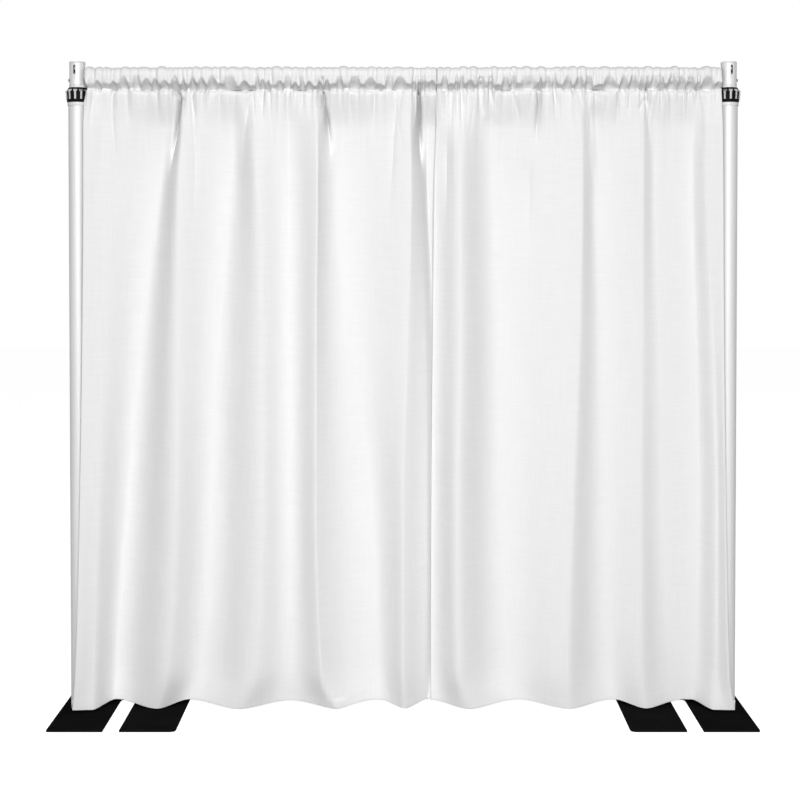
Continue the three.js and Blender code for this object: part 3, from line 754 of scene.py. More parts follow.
def seen_directly(tree):
    """One for camera rays and for mirrored or refracted ones, nought for the light on surfaces."""
    path = add_node(tree, "LightPath")
    mirrored = add_node(tree, "Math", operation="MAXIMUM")
    seen = add_node(tree, "Math", operation="MAXIMUM")
    wire(tree, (path, "Is Glossy Ray", mirrored, 0), (path, "Is Transmission Ray", mirrored, 1),
         (path, "Is Camera Ray", seen, 0), (mirrored, 0, seen, 1))
    return seen


def make_light():
    soft_box("high_box", place=(0, -4.7, 3.2), aim=(0, 0, 0.6), width=1.4, height=1.4, power=226)
    soft_box("low_box", place=(0, -3.1, 0.9), aim=(0, 0, -0.35), width=1.3, height=0.5,
             power=6.6, spread=92)
    world = bpy.data.worlds.new("studio")
    world.use_nodes = True
    bpy.context.scene.world = world
    tree = world.node_tree
    tree.nodes.clear()
    soft = add_node(tree, "Background", Color=WHITE, Strength=0.12)
    white = add_node(tree, "Background", Color=WHITE, Strength=1)
    either = add_node(tree, "MixShader")
    out = add_node(tree, "OutputWorld")
    wire(tree, (seen_directly(tree), 0, either, "Fac"), (soft, 0, either, 1), (white, 0, either, 2),
         (either, 0, out, "Surface"))


def make_floor():
    """A pale floor: matt for the light on it, and near white with its shadow to the camera and in
    mirrored rays."""
    pale = bpy.data.materials.new("pale_floor")
    floor = new_piece("studio_floor", FLOOR, [(0, 1, 2, 3)], pale, smooth=False)
    pale.use_nodes = True
    tree = pale.node_tree
    tree.nodes.clear()
    matt = add_node(tree, "BsdfDiffuse", Color=(0.16, 0.16, 0.16, 1))
    thin = add_node(tree, "BsdfDiffuse", Color=(0.45, 0.45, 0.45, 1))
    glow = add_node(tree, "Emission", Color=WHITE, Strength=0.93)
    shown = add_node(tree, "AddShader")
    pick = add_node(tree, "MixShader")
    out = add_node(tree, "OutputMaterial")
    wire(tree, (glow, 0, shown, 0), (thin, 0, shown, 1), (seen_directly(tree), 0, pick, "Fac"),
         (matt, 0, pick, 1), (shown, 0, pick, 2), (pick, 0, out, "Surface"))


make_camera()
make_light()
make_floor()
bpy.context.scene.view_settings.view_transform = "Standard"


# Base plates

def plate_outline(side):
    """Outline round the upright's axis: its long part and the slot's mouth lie inward."""
    outer, inner = side * PLATE_OUTER, -side * PLATE_INNER
    front, back = -PLATE_DEPTH / 2, PLATE_DEPTH / 2
    slot_x = (outer + inner) / 2
    slot_outer, slot_inner = slot_x + side * CARRY_WIDTH / 2, slot_x - side * CARRY_WIDTH / 2
    slot_end = front + CARRY_LENGTH
    corners = [
        (outer, front), (slot_outer, front), (slot_outer, slot_end), (slot_inner, slot_end),
        (slot_inner, front), (inner, front), (inner, back), (outer, back),
    ]
    eases = [PLATE_OUTER_CORNER, CARRY_LIP, CARRY_CORNER, CARRY_CORNER,
             CARRY_LIP, PLATE_INNER_CORNER, PLATE_INNER_CORNER, PLATE_OUTER_CORNER]
    return eased(corners, eases, [3 if ease == CARRY_LIP else 10 for ease in eases])


def make_plate(side, label):
    plate = plate_from(f"plate_{label}", plate_outline(side), 0.0, PLATE_THICK, black_steel)
    cut_away(plate, [turned_solid("countersink", SCREW_MOUTH, black_steel)])
    plate.data.transform(Matrix.Translation((side * UPRIGHT_X, 0, 0)))
    soft_edges(plate, PLATE_EDGE, 3)
    set_on(plate, f"foot_{label}", "black_steel", f"base_plate_{label}")


# Uprights

def make_upright(side, label):
    """The lower tube with the pale parts that are fixed on it, the lock ring and the head."""
    place = (side * UPRIGHT_X, 0, 0)
    clutch_foot, seat = TUBE_TOP - CLUTCH_LENGTH, TUBE_TOP + SEAT
    tube = hollow(TUBE_R, TUBE_R - TUBE_WALL, TUBE_FOOT, TUBE_TOP)
    sleeve = hollow(SLEEVE_OUT_R, SLEEVE_IN_R, SLEEVE_FOOT, SLEEVE_TOP)
    clutch = [
        (CLUTCH_BORE_R, clutch_foot), (CLUTCH_BODY_R, clutch_foot), (CLUTCH_BODY_R, seat),
        (TUBE_R, seat), (TUBE_R, CLUTCH_STEP), (CLUTCH_NECK_R, CLUTCH_STEP),
        (CLUTCH_NECK_R, CLUTCH_TOP), (CLUTCH_BORE_R, CLUTCH_TOP),
    ]
    for name, outline, edge, material, sides, slot_name, node in (
            ("lower_pole", tube, TUBE_EDGE, aluminium_up, 128, "satin_aluminium", "lower_tube"),
            ("pale_seat_ring", sleeve, SLEEVE_EDGE, nylon, 128, "pale_nylon", "seat_sleeve"),
            ("clutch_neck", clutch, CLUTCH_EDGE, nylon, 96, "pale_nylon", "clutch_bush")):
        piece = turned(f"{name}_{label}", eased(outline, edge), material, sides, place=place)
        set_on(piece, f"post_{label}", slot_name, f"{node}_{label}")
    make_lock_ring(label, place)
    make_head(side, label, place)


def ring_radius(z):
    """Outer radius of the lock ring's body at a height."""
    radii, heights = zip(*RING_PROFILE)
    return float(np.interp(z, heights, radii))


def make_lock_ring(label, place):
    outline = [(RING_BORE_R, RING_FOOT), *RING_PROFILE, (RING_NECK_R, RING_TOP),
               (RING_NECK_R, RING_NECK_FOOT), (RING_BORE_R, RING_NECK_FOOT)]
    body = turned(f"lock_ring_{label}_body", eased(outline, RING_EDGE, 4), ring_body, 144,
                  place=place)
    set_on(body, f"lock_{label}", "black_plastic", f"lock_ring_{label}")
    verts, faces = [], []
    front = math.radians(-90 + RIB_TURN[label])
    for i in range(RIB_COUNT):
        add_rib(verts, faces, front + math.radians(360 / RIB_COUNT * i), place[0])
    # The ribs take the bright finish that paints the lamp's highlight onto them
    ribs = new_piece(f"lock_ring_{label}_ribs", verts, faces, painted_highlight_ribs)
    soft_edges(ribs, RIB_EDGE, 2, 30)
    set_on(ribs, f"lock_{label}", "black_plastic")


def add_rib(verts, faces, angle, x):
    """A T-shaped grip rib: its bar lies on the ring's slope and its stem runs down the side."""
    start = len(verts)
    radial = Vector((math.cos(angle), math.sin(angle), 0))
    tangent = Vector((-math.sin(angle), math.cos(angle), 0))
    for z, half, stand in RIB_ROWS:
        for across, rise in ((-half, RIB_ROOT), (-half, stand), (half, stand), (half, RIB_ROOT)):
            reach = ring_radius(z) + rise
            out = reach - across * across / (2 * reach) * RIB_ROUND
            spot = radial * out + tangent * across
            verts.append((spot.x + x, spot.y, z))
    for here in range(start, start + 4 * (len(RIB_ROWS) - 1), 4):
        for m in range(4):
            n = (m + 1) % 4
            faces.append((here + m, here + n, here + 4 + n, here + 4 + m))
    faces.append((start + 3, start + 2, start + 1, start))
    end = start + 4 * (len(RIB_ROWS) - 1)
    faces.append((end, end + 1, end + 2, end + 3))


def slot_cutter(turn):
    """A cutter that stands upright and points outward from the head's axis."""
    outline = slot_outline(SLOT_WIDTH, SLOT_LOW, SLOT_HIGH)
    cutter = plate_from("slot_cutter", outline, 0.0, CUTTER_REACH, aluminium_up)
    upright = Matrix(((0, 0, 1, 0), (1, 0, 0, 0), (0, 1, 0, 0), (0, 0, 0, 1)))
    cutter.data.transform(Matrix.Rotation(turn, 4, "Z") @ upright)
    return cutter


def make_head(side, label, place):
    body = f"head_{label}"
    outline = eased(hollow(HEAD_R, HEAD_R - HEAD_WALL, HEAD_FOOT, HEAD_TOP), HEAD_EDGE)
    head = turned(f"head_tube_{label}", outline, aluminium_up, 120)
    turns = (0, math.pi, -math.pi / 2 + side * SLOT_TURN, math.pi / 2 - side * SLOT_TURN)
    rivet_hole = drill("rivet_drill", RIVET_HOLE_R, aluminium_up, 24, "X", (0, 0, RIVET_Z))
    cut_away(head, [*map(slot_cutter, turns), rivet_hole])
    head.data.transform(Matrix.Translation(place))
    soft_edges(head, SLOT_EDGE, 2, 40)
    set_on(head, body, "satin_aluminium", f"slotted_head_{label}")
    cap = turned_solid(f"head_cap_{label}", CAP_OUTLINE, nylon, 96, place=place)
    set_on(cap, body, "pale_nylon", f"head_plug_{label}")
    for turn, which in ((side, "outer"), (-side, "inner")):
        rivet = turned_solid(f"rivet_{which}_{label}", rivet_outline(), rivet_zinc, 32, "X")
        if turn < 0:
            rivet.data.transform(Matrix.Rotation(math.pi, 4, "Z"))
        rivet.data.transform(Matrix.Translation((place[0], 0, RIVET_Z)))
        set_on(rivet, body, "zinc_steel", f"stop_rivet_{which}_{label}")


def rivet_outline():
    """Clinched end, shank and domed head of a stop rivet, outward from the head's axis."""
    base = HEAD_R + SEAT
    low, high = RIVET_CLINCH
    dome = [(RIVET_DOME_R * math.cos(t), base + RIVET_RIM + RIVET_DOME_RISE * math.sin(t))
            for t in np.linspace(0, RIVET_DOME_TURN, 9)]
    return [(0, low), (RIVET_CLINCH_R, low), (RIVET_CLINCH_R, high), (RIVET_SHANK_R, high),
            (RIVET_SHANK_R, base), (RIVET_RIM_R, base), *dome, (0, base + RIVET_HEIGHT)]


for side, label in SIDES:
    make_plate(side, label)
    make_upright(side, label)


# Crossbar

def make_bar(name, radius, length, start, hole, body, node):
    """A tube of the crossbar, with the hole for its hook's pin."""
    outline = eased(hollow(radius, radius - BAR_WALL, 0, length), BAR_EDGE)
    bar = turned(name, outline, aluminium_across, 96, "X", (start, 0, BAR_Z))
    pin_hole = drill("pin_drill", PIN_HOLE_R, aluminium_across)
    across = Matrix.Rotation(math.radians(90), 4, "X")
    pin_hole.data.transform(Matrix.Translation((hole, 0, BAR_Z)) @ across)
    cut_away(bar, [pin_hole])
    soft_edges(bar, PIN_EDGE, 2, 40)
    set_on(bar, body, "satin_aluminium", node)


make_bar("bar_outer_pole", BAR_R, BAR_OUTER_LENGTH, -BAR_START, -BAR_START + PIN_INSET,
         "bar_outer", "bar_outer_tube")
make_bar("bar_inner_pole", BAR_INNER_R, BAR_INNER_LENGTH, BAR_START - BAR_INNER_LENGTH,
         BAR_START - PIN_INSET, "bar_inner", "bar_inner_tube")


# Drape

# Heights of the table's columns, from below the seam down to the hem
FOLD_HEIGHTS = np.array([1.719, 1.494, 1.086, 0.565, 0.115, 0.016])

# Each row is a crest or hollow of the folds: places across and depths in millimetres at the
# heights above, the height of the hem there, and how the step to the next row leans (start, end).
LEFT_FOLDS = [
    ([-892, -892, -895, -903, -916, -925], [-33, -36, -44, -54, -60, -56], 14, 2.0, 2.0),
    ([-835, -840, -849, -859, -868, -873], [-9, -21, -31, -40, -39, -46], 12, 2.0, 2.0),
    ([-654, -684, -736, -786, -817, -818], [12, 30, 36, 44, 38, 21], 21.5, 2.0, 2.0),
    ([-610, -625, -633, -637, -663, -692], [-15, -34, -41, -48, -41, -25], 8.5, 1.7, 2.0),
    ([-471, -483, -520, -546, -572, -607], [12, 27, 26, 32, 29, 19], 21.5, 2.0, 2.0),
    ([-419, -407, -398, -397, -416, -462], [-15, -34, -41, -44, -40, -26], 8.5, 1.8, 2.0),
    ([-318, -319, -319, -319, -319, -319], [0, 6, 5, 6, 9, 12], 21.5, 2.0, 1.6),
    ([-239, -238, -242, -243, -228, -185], [-21, -39, -46, -48, -40, -26], 8.5, 1.15, 2.6),
    ([-164, -172, -144, -88, -72, -69], [15, 25, 26, 32, 29, 19], 21.5, 2.0, 1.6),
    ([19, 22, 14, 0, 0, 6], [-12, -25, -29, -34, -32, -21], 8.5, 1.3, 1.3),
    ([65, 68, 85, 93, 85, 71], [24, 36, 36, 44, 40, 25], 21.5, 2.0, 2.0),
    ([93, 96, 107, 116, 123, 125], [24, 39, 46, 52, 46, 29], 21.5, 2.0, 2.0),
]
RIGHT_FOLDS = [
    ([95, 88, 84, 80, 79, 79], [-6, 6, 14, 23, 24, 15], 21.5, 2.0, 2.0),
    ([165, 159, 162, 153, 159, 188], [-18, -39, -43, -46, -40, -26], 8.5, 1.7, 2.2),
    ([245, 257, 271, 280, 295, 329], [15, 30, 34, 40, 33, 21], 21.5, 2.0, 2.0),
    ([497, 502, 496, 476, 464, 471], [-9, -18, -22, -29, -33, -25], 8.5, 1.6, 2.2),
    ([549, 547, 558, 567, 582, 600], [6, 16, 17, 21, 26, 19], 21.5, 2.0, 2.0),
    ([674, 674, 674, 671, 674, 687], [-9, -12, -10, -15, -22, -22], 8.5, 1.6, 2.2),
    ([712, 710, 724, 736, 764, 800], [6, 9, 10, 13, 14, 17], 21.5, 2.0, 2.0),
    ([814, 814, 826, 838, 831, 820], [6, 12, 12, 15, 15, 17], 21.5, 2.0, 2.0),
    ([850, 850, 866, 882, 882, 873], [-21, -27, -26, -29, -32, -46], 12, 2.0, 2.0),
    ([891, 894, 896, 902, 913, 929], [-33, -36, -44, -54, -60, -56], 14, 2.0, 2.0),
]

# Single creases below the seam, in millimetres: the line that each follows across and down, its
# depth, and its width to the left and to the right. A crease past DEEP is a strong one.
DEEP = 20
CREASES = [
    ([(-636, 1747), (-626, 1723), (-633, 1677), (-646, 1592), (-656, 1508)], 56, 5, 6),
    ([(-224, 1745), (-222, 1712), (-214, 1668), (-206, 1592), (-206, 1560)], 60, 6, 5),
    ([(44, 1747), (47, 1691), (49, 1578), (53, 1520)], 60, 6, 5),
    ([(131, 1742), (131, 1705), (128, 1649)], 9, 6, 12),
    ([(163, 1742), (163, 1677), (166, 1578)], 9.9, 7.5, 24.0),
    ([(244, 1742), (253, 1716), (264, 1688)], 9, 7, 14),
    ([(306, 1744), (315, 1713), (327, 1683), (329, 1592)], 8.0, 16.8, 7.0),
    ([(380, 1744), (382, 1711), (377, 1649), (373, 1578)], 28, 5, 5),
    ([(423, 1744), (430, 1711), (435, 1668)], 6.5, 5.6, 13.5),
    ([(526, 1744), (537, 1736), (549, 1728)], 4.9, 10.2, 4.2),
    ([(526, 1711), (525, 1649), (523, 1578)], 9.7, 8.5, 20.4),
    ([(678, 1744), (689, 1697), (691, 1578)], 8.0, 16.8, 7.0),
    ([(674, 1716), (658, 1691)], 4.9, 4.2, 10.2),
    ([(723, 1744), (726, 1719), (726, 1691)], 5.6, 12.0, 5.0),
    ([(747, 1743), (752, 1706), (754, 1607)], 6.5, 5.6, 13.5),
    ([(828, 1744), (837, 1686), (840, 1578)], 8.0, 16.8, 7.0),
    ([(785, 1744), (788, 1699)], 4.9, 4.2, 10.2),
    ([(807, 1744), (816, 1697)], 4.9, 10.2, 4.2),
    ([(-867, 1744), (-873, 1691), (-878, 1621)], 8.0, 7.0, 16.8),
    ([(-816, 1744), (-816, 1677), (-808, 1578), (-802, 1353)], 11.4, 23.8, 9.9),
    ([(-774, 1744), (-774, 1657)], 8.0, 7.0, 16.8),
    ([(-600, 1744), (-586, 1691), (-583, 1550), (-588, 1353)], 11.6, 24.2, 10.1),
    ([(-422, 1744), (-436, 1691), (-451, 1550)], 9.7, 8.5, 20.4),
    ([(-391, 1744), (-397, 1649)], 8.0, 16.8, 7.0),
    ([(-327, 1744), (-324, 1607), (-327, 1269)], 11.6, 10.1, 24.2),
    ([(-282, 1744), (-279, 1685)], 6.5, 13.5, 5.6),
    ([(-79, 1744), (-79, 1578)], 9.7, 8.5, 20.4),
    ([(-17, 1744), (-26, 1607), (-40, 1325)], 11.6, 24.2, 10.1),
    ([(602, 1744), (599, 1635)], 8.0, 7.0, 16.8),
    ([(633, 1744), (636, 1677)], 6.5, 13.5, 5.6),
    ([(124, 1635), (121, 1353)], 11.6, 10.1, 24.2),
    ([(360, 1578), (354, 1269)], 11.6, 24.2, 10.1),
    ([(-515, 1744), (-518, 1663)], 8.0, 7.0, 16.8),
    ([(-152, 1744), (-144, 1668)], 8.0, 16.8, 7.0),
    ([(214, 1744), (219, 1677)], 9.7, 8.5, 20.4),
    ([(470, 1744), (467, 1685)], 8.0, 16.8, 7.0),
]

# Hollows of the pocket below the crossbar, in millimetres: place, reach to the left and to the
# right, height above the seam, and share of the full depth
LEFT_HOLLOWS = [
    (-890, 8, 8, 33, 1), (-854, 11, 11, 22, 0.8), (-810, 11, 11, 22, 1), (-781, 14, 14, 41, 0.8),
    (-745, 11, 14, 47, 0.7), (-716, 17, 14, 30, 1), (-694, 11, 14, 30, 1),
    (-666, 11, 14, 24, 0.8), (-638, 11, 11, 44, 1), (-613, 7, 7, 30, 1), (-587, 11, 11, 34, 1),
    (-562, 13, 13, 33, 1), (-533, 14, 17, 39, 1), (-483, 23, 20, 47, 0.6), (-443, 17, 17, 24, 1),
    (-407, 7, 8, 44, 0.8), (-393, 8, 10, 27, 0.8), (-376, 7, 7, 24, 1), (-345, 11, 11, 24, 0.9),
    (-322, 10, 11, 44, 0.6), (-300, 11, 8, 19, 0.9), (-281, 8, 6, 50, 0.8),
    (-262, 13, 13, 22, 0.9), (-233, 10, 10, 22, 1), (-212, 11, 8, 27, 1),
    (-177, 11, 11, 41, 0.9), (-135, 17, 17, 47, 0.9), (-88, 25, 14, 32, 0.9),
    (-63, 8, 8, 13, 0.8), (-39, 11, 14, 50, 0.6), (-10, 17, 23, 36, 0.9), (30, 6, 6, 55, 1),
    (46, 6, 6, 50, 1), (58, 6, 6, 47, 1), (82, 14, 13, 24, 0.9),
]
RIGHT_HOLLOWS = [
    (114, 8, 14, 41, 0.8), (134, 11, 8, 16, 0.9), (150, 7, 7, 39, 1), (164, 7, 7, 50, 0.8),
    (188, 14, 14, 27, 0.9), (219, 13, 11, 50, 0.9), (245, 8, 8, 55, 0.9), (264, 8, 11, 13, 0.8),
    (289, 14, 10, 47, 0.8), (309, 8, 10, 55, 0.8), (351, 25, 25, 47, 0.5), (385, 6, 6, 36, 1),
    (404, 8, 10, 53, 0.8), (424, 7, 8, 39, 0.7), (459, 13, 14, 39, 0.9), (492, 13, 13, 44, 0.9),
    (521, 13, 11, 46, 0.9), (573, 14, 25, 39, 0.7), (617, 12, 11, 44, 0.9),
    (642, 11, 14, 46, 0.9), (666, 6, 8, 36, 0.9), (682, 5, 5, 44, 1), (700, 11, 14, 39, 0.6),
    (724, 8, 8, 39, 1), (751, 14, 17, 44, 0.9), (779, 13, 14, 41, 1), (804, 13, 13, 46, 1),
    (826, 6, 6, 53, 1), (855, 23, 14, 43, 0.8), (880, 11, 11, 20, 0.9),
]

# Grooves that run down the pocket from a pinch, in the same form
GROOVES = [
    ([(-650, 1800), (-626, 1754)], 4.8, 3.1, 8.5), ([(-618, 1792), (-615, 1752)], 4.5, 9.4, 2.8),
    ([(-419, 1809), (-417, 1750)], 5.2, 3.1, 8.5), ([(-366, 1789), (-364, 1750)], 4.8, 9.4, 2.8),
    ([(-276, 1800), (-281, 1752)], 4.5, 3.1, 8.5), ([(-293, 1792), (-287, 1761)], 3.9, 9.4, 2.8),
    ([(-242, 1772), (-239, 1750)], 4.8, 3.1, 8.5), ([(-225, 1778), (-224, 1744)], 15, 3.2, 3.2),
    ([(-231, 1766), (-230, 1752)], 4.5, 9.4, 2.8), ([(-550, 1803), (-545, 1766)], 3.3, 3.1, 8.5),
    ([(-514, 1797), (-511, 1752)], 4.5, 9.4, 2.8), ([(-826, 1806), (-821, 1761)], 3.9, 3.1, 8.5),
    ([(-864, 1806), (-857, 1755)], 3.6, 9.4, 2.8), ([(30, 1809), (34, 1733)], 5.2, 3.1, 8.5),
    ([(47, 1809), (50, 1733)], 5.2, 9.4, 2.8), ([(60, 1803), (57, 1755)], 4.8, 3.1, 8.5),
    ([(71, 1795), (69, 1744)], 4.5, 9.4, 2.8), ([(101, 1806), (101, 1755)], 3.9, 3.1, 8.5),
    ([(150, 1789), (147, 1744)], 5.2, 9.4, 2.8), ([(166, 1792), (162, 1750)], 4.5, 3.1, 8.5),
    ([(219, 1778), (220, 1744)], 4.5, 9.4, 2.8), ([(246, 1783), (247, 1750)], 4.8, 3.1, 8.5),
    ([(307, 1792), (307, 1730)], 5.2, 9.4, 2.8), ([(386, 1789), (381, 1730)], 5.2, 3.1, 8.5),
    ([(422, 1789), (424, 1747)], 4.5, 9.4, 2.8), ([(536, 1800), (527, 1758)], 4.8, 3.1, 8.5),
    ([(604, 1789), (610, 1752)], 4.5, 9.4, 2.8), ([(683, 1795), (681, 1738)], 5.2, 3.1, 8.5),
    ([(720, 1786), (725, 1733)], 5.2, 9.4, 2.8), ([(751, 1789), (752, 1750)], 3.9, 3.1, 8.5),
    ([(826, 1806), (828, 1750)], 4.8, 9.4, 2.8), ([(763, 1792), (793, 1752)], 3.9, 3.1, 8.5),
    ([(793, 1797), (807, 1752)], 3.9, 9.4, 2.8), ([(-114, 1803), (-111, 1778)], 3.3, 3.1, 8.5),
    ([(-80, 1800), (-77, 1755)], 3.9, 9.4, 2.8), ([(-29, 1800), (-46, 1755)], 3.9, 3.1, 8.5),
]

# Where the cloth is pinched along the pocket's seam, in millimetres
LEFT_PINCHES = [
    -867, -842, -825, -814, -791, -766, -740, -715, -690, -662, -645, -628, -617, -605, -591,
    -566, -541, -515, -490, -467, -445, -422, -406, -391, -369, -344, -318, -299, -282, -268,
    -256, -245, -234, -220, -203, -178, -152, -127, -102, -79, -54, -28, -3, 17, 28, 38, 45, 52,
    59, 76,
]
RIGHT_PINCHES = [
    118, 129, 140, 152, 163, 183, 205, 215, 225, 242, 261, 281, 304, 321, 340, 360, 380, 399,
    411, 422, 444, 470, 495, 512, 523, 537, 554, 577, 602, 622, 639, 658, 678, 698, 717, 737,
    757, 771, 788, 799, 807, 817, 827, 844, 861, 878,
]


def smooth(t):
    t = np.clip(t, 0, 1)
    return t * t * (3 - 2 * t)


def through(points, values, at):
    """A smooth curve through the values, without overshoot between them."""
    points, values = np.array(points, float), np.array(values, float)
    step = np.diff(points)
    rate = np.diff(values) / step
    slope = np.zeros(len(values))
    for i in range(1, len(values) - 1):
        if rate[i - 1] * rate[i] > 0:
            slope[i] = 2 * rate[i - 1] * rate[i] / (rate[i - 1] + rate[i])
    slope[0], slope[-1] = rate[0], rate[-1]
    k = int(np.clip(np.searchsorted(points, at) - 1, 0, len(step) - 1))
    t = float(np.clip((at - points[k]) / step[k], 0, 1))
    h = step[k]
    return ((1 + 2 * t) * (1 - t) ** 2 * values[k] + t * (1 - t) ** 2 * h * slope[k]
            + t * t * (3 - 2 * t) * values[k + 1] + t * t * (t - 1) * h * slope[k + 1])


def leaning_step(start, end):
    """A step from nought to one that is steep near its start or its end."""
    t = (np.arange(STEP_COUNT) + 0.5) / STEP_COUNT
    rise = np.concatenate([[0], np.cumsum(t ** (start - 1) * (1 - t) ** (end - 1))])
    return rise / rise[-1]


def step_at(step, t):
    """Value of a leaning step at a share of its way."""
    stretch = t * STEP_COUNT
    k = np.minimum(stretch, STEP_COUNT - 0.001).astype(int)
    return step[k] * (1 - stretch % 1) + step[k + 1] * (stretch % 1)


class Waves:
    """Seeded smooth wandering values along a line."""

    def __init__(self, seed, low, high, spacing):
        count = int((high - low) / spacing) + 4
        self.low, self.spacing = low - spacing, spacing
        self.values = np.random.default_rng(seed).uniform(-1, 1, count)

    def at(self, x):
        place = (np.asarray(x, float) - self.low) / self.spacing
        k = np.clip(place.astype(int), 0, len(self.values) - 2)
        return self.values[k] + (self.values[k + 1] - self.values[k]) * smooth(place - k)


class Panel:
    """One drape panel: how deep its cloth lies at a place across and a height."""

    def __init__(self, folds, pinches, hollows, outer_end, inner_end, fullness, seed):
        self.places = [np.array(f[0]) / 1000 for f in folds]
        self.depths = [np.array(f[1]) / 1000 for f in folds]
        self.hems = np.array([f[2] for f in folds]) / 1000
        self.steps = [leaning_step(f[3], f[4]) for f in folds[:-1]]
        self.hollows = np.array(hollows) / [1000, 1000, 1000, 1000, 1]
        ends = sorted((outer_end, inner_end))
        self.pinches = np.array([ends[0], *[p / 1000 for p in pinches], ends[1]])
        self.left_end, self.right_end = ends
        self.fullness = fullness
        dice = np.random.default_rng(seed)
        gaps = len(self.pinches) - 1
        self.puffs = dice.uniform(*PUFF_SIZES, gaps)
        self.skews = dice.uniform(*PUFF_SKEWS, gaps)
        self.fades = dice.uniform(*PUFF_FADES, gaps)
        self.drift = np.concatenate([[0], dice.uniform(*PINCH_DRIFTS, gaps - 1), [0]])
        self.belly = [Waves(seed + 11 + i, *ends, gap) for i, gap in enumerate(BELLY_SPACINGS)]
        self.sway = [Waves(seed + 21 + i, -1.0, 1.0, SWAY_SPACING) for i in range(4)]
        self.low_wave = Waves(seed + 40, *ends, LOW_SPACING)

    def edges(self, z):
        """Places of the panel's left and right edge at a height."""
        heights = np.concatenate([FOLD_HEIGHTS[::-1], [SEAM_Z]])
        left = np.concatenate([self.places[0][::-1], [self.left_end]])
        right = np.concatenate([self.places[-1][::-1], [self.right_end]])
        return through(heights, left, z), through(heights, right, z)

    def folds(self, x, z):
        """Depth of the big folds at a height, and the hem's height below each place."""
        heights = FOLD_HEIGHTS[::-1]
        at = min(z, FOLD_HEIGHTS[0])
        place = np.array([through(heights, p[::-1], at) for p in self.places])
        depth = np.array([through(heights, d[::-1], at) for d in self.depths])
        k = np.clip(np.searchsorted(place, x) - 1, 0, len(place) - 2)
        t = np.clip((x - place[k]) / (place[k + 1] - place[k]), 0, 1)
        step = np.array([step_at(self.steps[i], share) for i, share in zip(k, t)])
        hem = self.hems[k] + (self.hems[k + 1] - self.hems[k]) * smooth(t)
        return depth[k] + (depth[k + 1] - depth[k]) * step, hem

    def gathers(self, x, level, drop):
        """Height of the small puffs between the pinches. Level is how full they are, and drop how
        far they have run from the seam."""
        pinches = np.maximum.accumulate(self.pinches + self.drift * drop / DRIFT_RUN)
        k = np.clip(np.searchsorted(pinches, x) - 1, 0, len(pinches) - 2)
        gap = np.maximum(pinches[k + 1] - pinches[k], PUFF_LEAST)
        t = np.clip((x - pinches[k]) / gap, 0, 1)
        t = t + self.skews[k] * t * (1 - t)
        hill = 1 - np.abs(2 * t - 1) ** PUFF_POWER
        fade = np.exp(-np.maximum(drop, 0) / self.fades[k]) if drop > 0 else 1.0
        return np.minimum(gap * self.fullness, PUFF_MOST) * self.puffs[k] * hill * level * fade

    def hollow(self, x, lift):
        """Share of the full hollow at a height above the seam: each one is deepest at the seam and
        narrows up, and a low one runs along the whole seam."""
        deepest = np.zeros_like(x)
        for place, left, right, top, share in self.hollows:
            rise = np.clip(1 - lift / top, 0, 1)
            reach = HOLLOW_REACH + HOLLOW_GAIN * rise ** HOLLOW_REACH_POWER
            reach = np.where(x < place, left, right) * reach
            across = np.clip(1 - np.abs((x - place) / reach) ** HOLLOW_BLUNT, 0, 1)
            deepest = np.maximum(deepest, share * rise ** HOLLOW_DEPTH_POWER * across)
        slow, quick = LOW_HOLLOW_WAVES
        low_top = LOW_HOLLOW + slow * self.belly[1].at(x) + quick * self.low_wave.at(x)
        low_share = np.clip(LOW_SHARE + LOW_SHARE_WAVE * self.belly[0].at(x), 0, 1)
        return np.maximum(deepest, low_share * np.clip(1 - lift / low_top, 0, 1))

    def seam_depth(self, x):
        return SEAM_FRONT + HOLLOW_DEPTH * self.hollow(x, 0.0) - self.forward(x)

    def seam_height(self, x):
        return SEAM_Z + SEAM_WAVE * self.low_wave.at(x) + SEAM_ARCH * (1 - self.hollow(x, 0.0))

    def creases(self, table, x, z):
        """Depth of the single creases of a table at these places, which may each have their own
        height. A deep crease opens wide as it runs out, most on its wider side."""
        depth = np.zeros_like(x)
        z = np.broadcast_to(z, x.shape)
        for line, deep, left, right in table:
            across, heights = np.array(line[::-1]).T / 1000
            near = self.left_end - CREASE_MARGIN < across[-1] < self.right_end + CREASE_MARGIN
            foot, top = heights[0], heights[-1]
            if not near or z.max() < foot - FOOT_PAST or z.min() > top + TOP_PAST:
                continue
            length = top - foot
            foot_run = (STRONG_RUN_SHARE if deep > DEEP else FOOT_RUN_SHARE) * length + FOOT_PAST
            top_run = SEAM_RUN if top > SEAM_Z - FOOT_PAST else TOP_RUN_SHARE * length
            lower = smooth((z - foot + FOOT_PAST) / foot_run)
            upper = smooth((top + TOP_PAST - z) / top_run)
            off = x - np.interp(z, heights, across)
            width = np.where(off < 0, left, right) / 1000
            if deep > DEEP:
                open_side = off < 0 if left > right else off >= 0
                width = width * (1 + np.where(open_side, OPEN_WIDE, OPEN_LESS) * (1 - lower))
            across_share = np.exp(-np.abs(off / width) ** CREASE_POWER)
            depth = depth + deep / 1000 * lower * upper * across_share
        return depth

    def forward(self, x):
        """How far the outer edge swings forward, past the lock ring."""
        return SWING * smooth((np.abs(x) - SWING_START) / SWING_RUN)

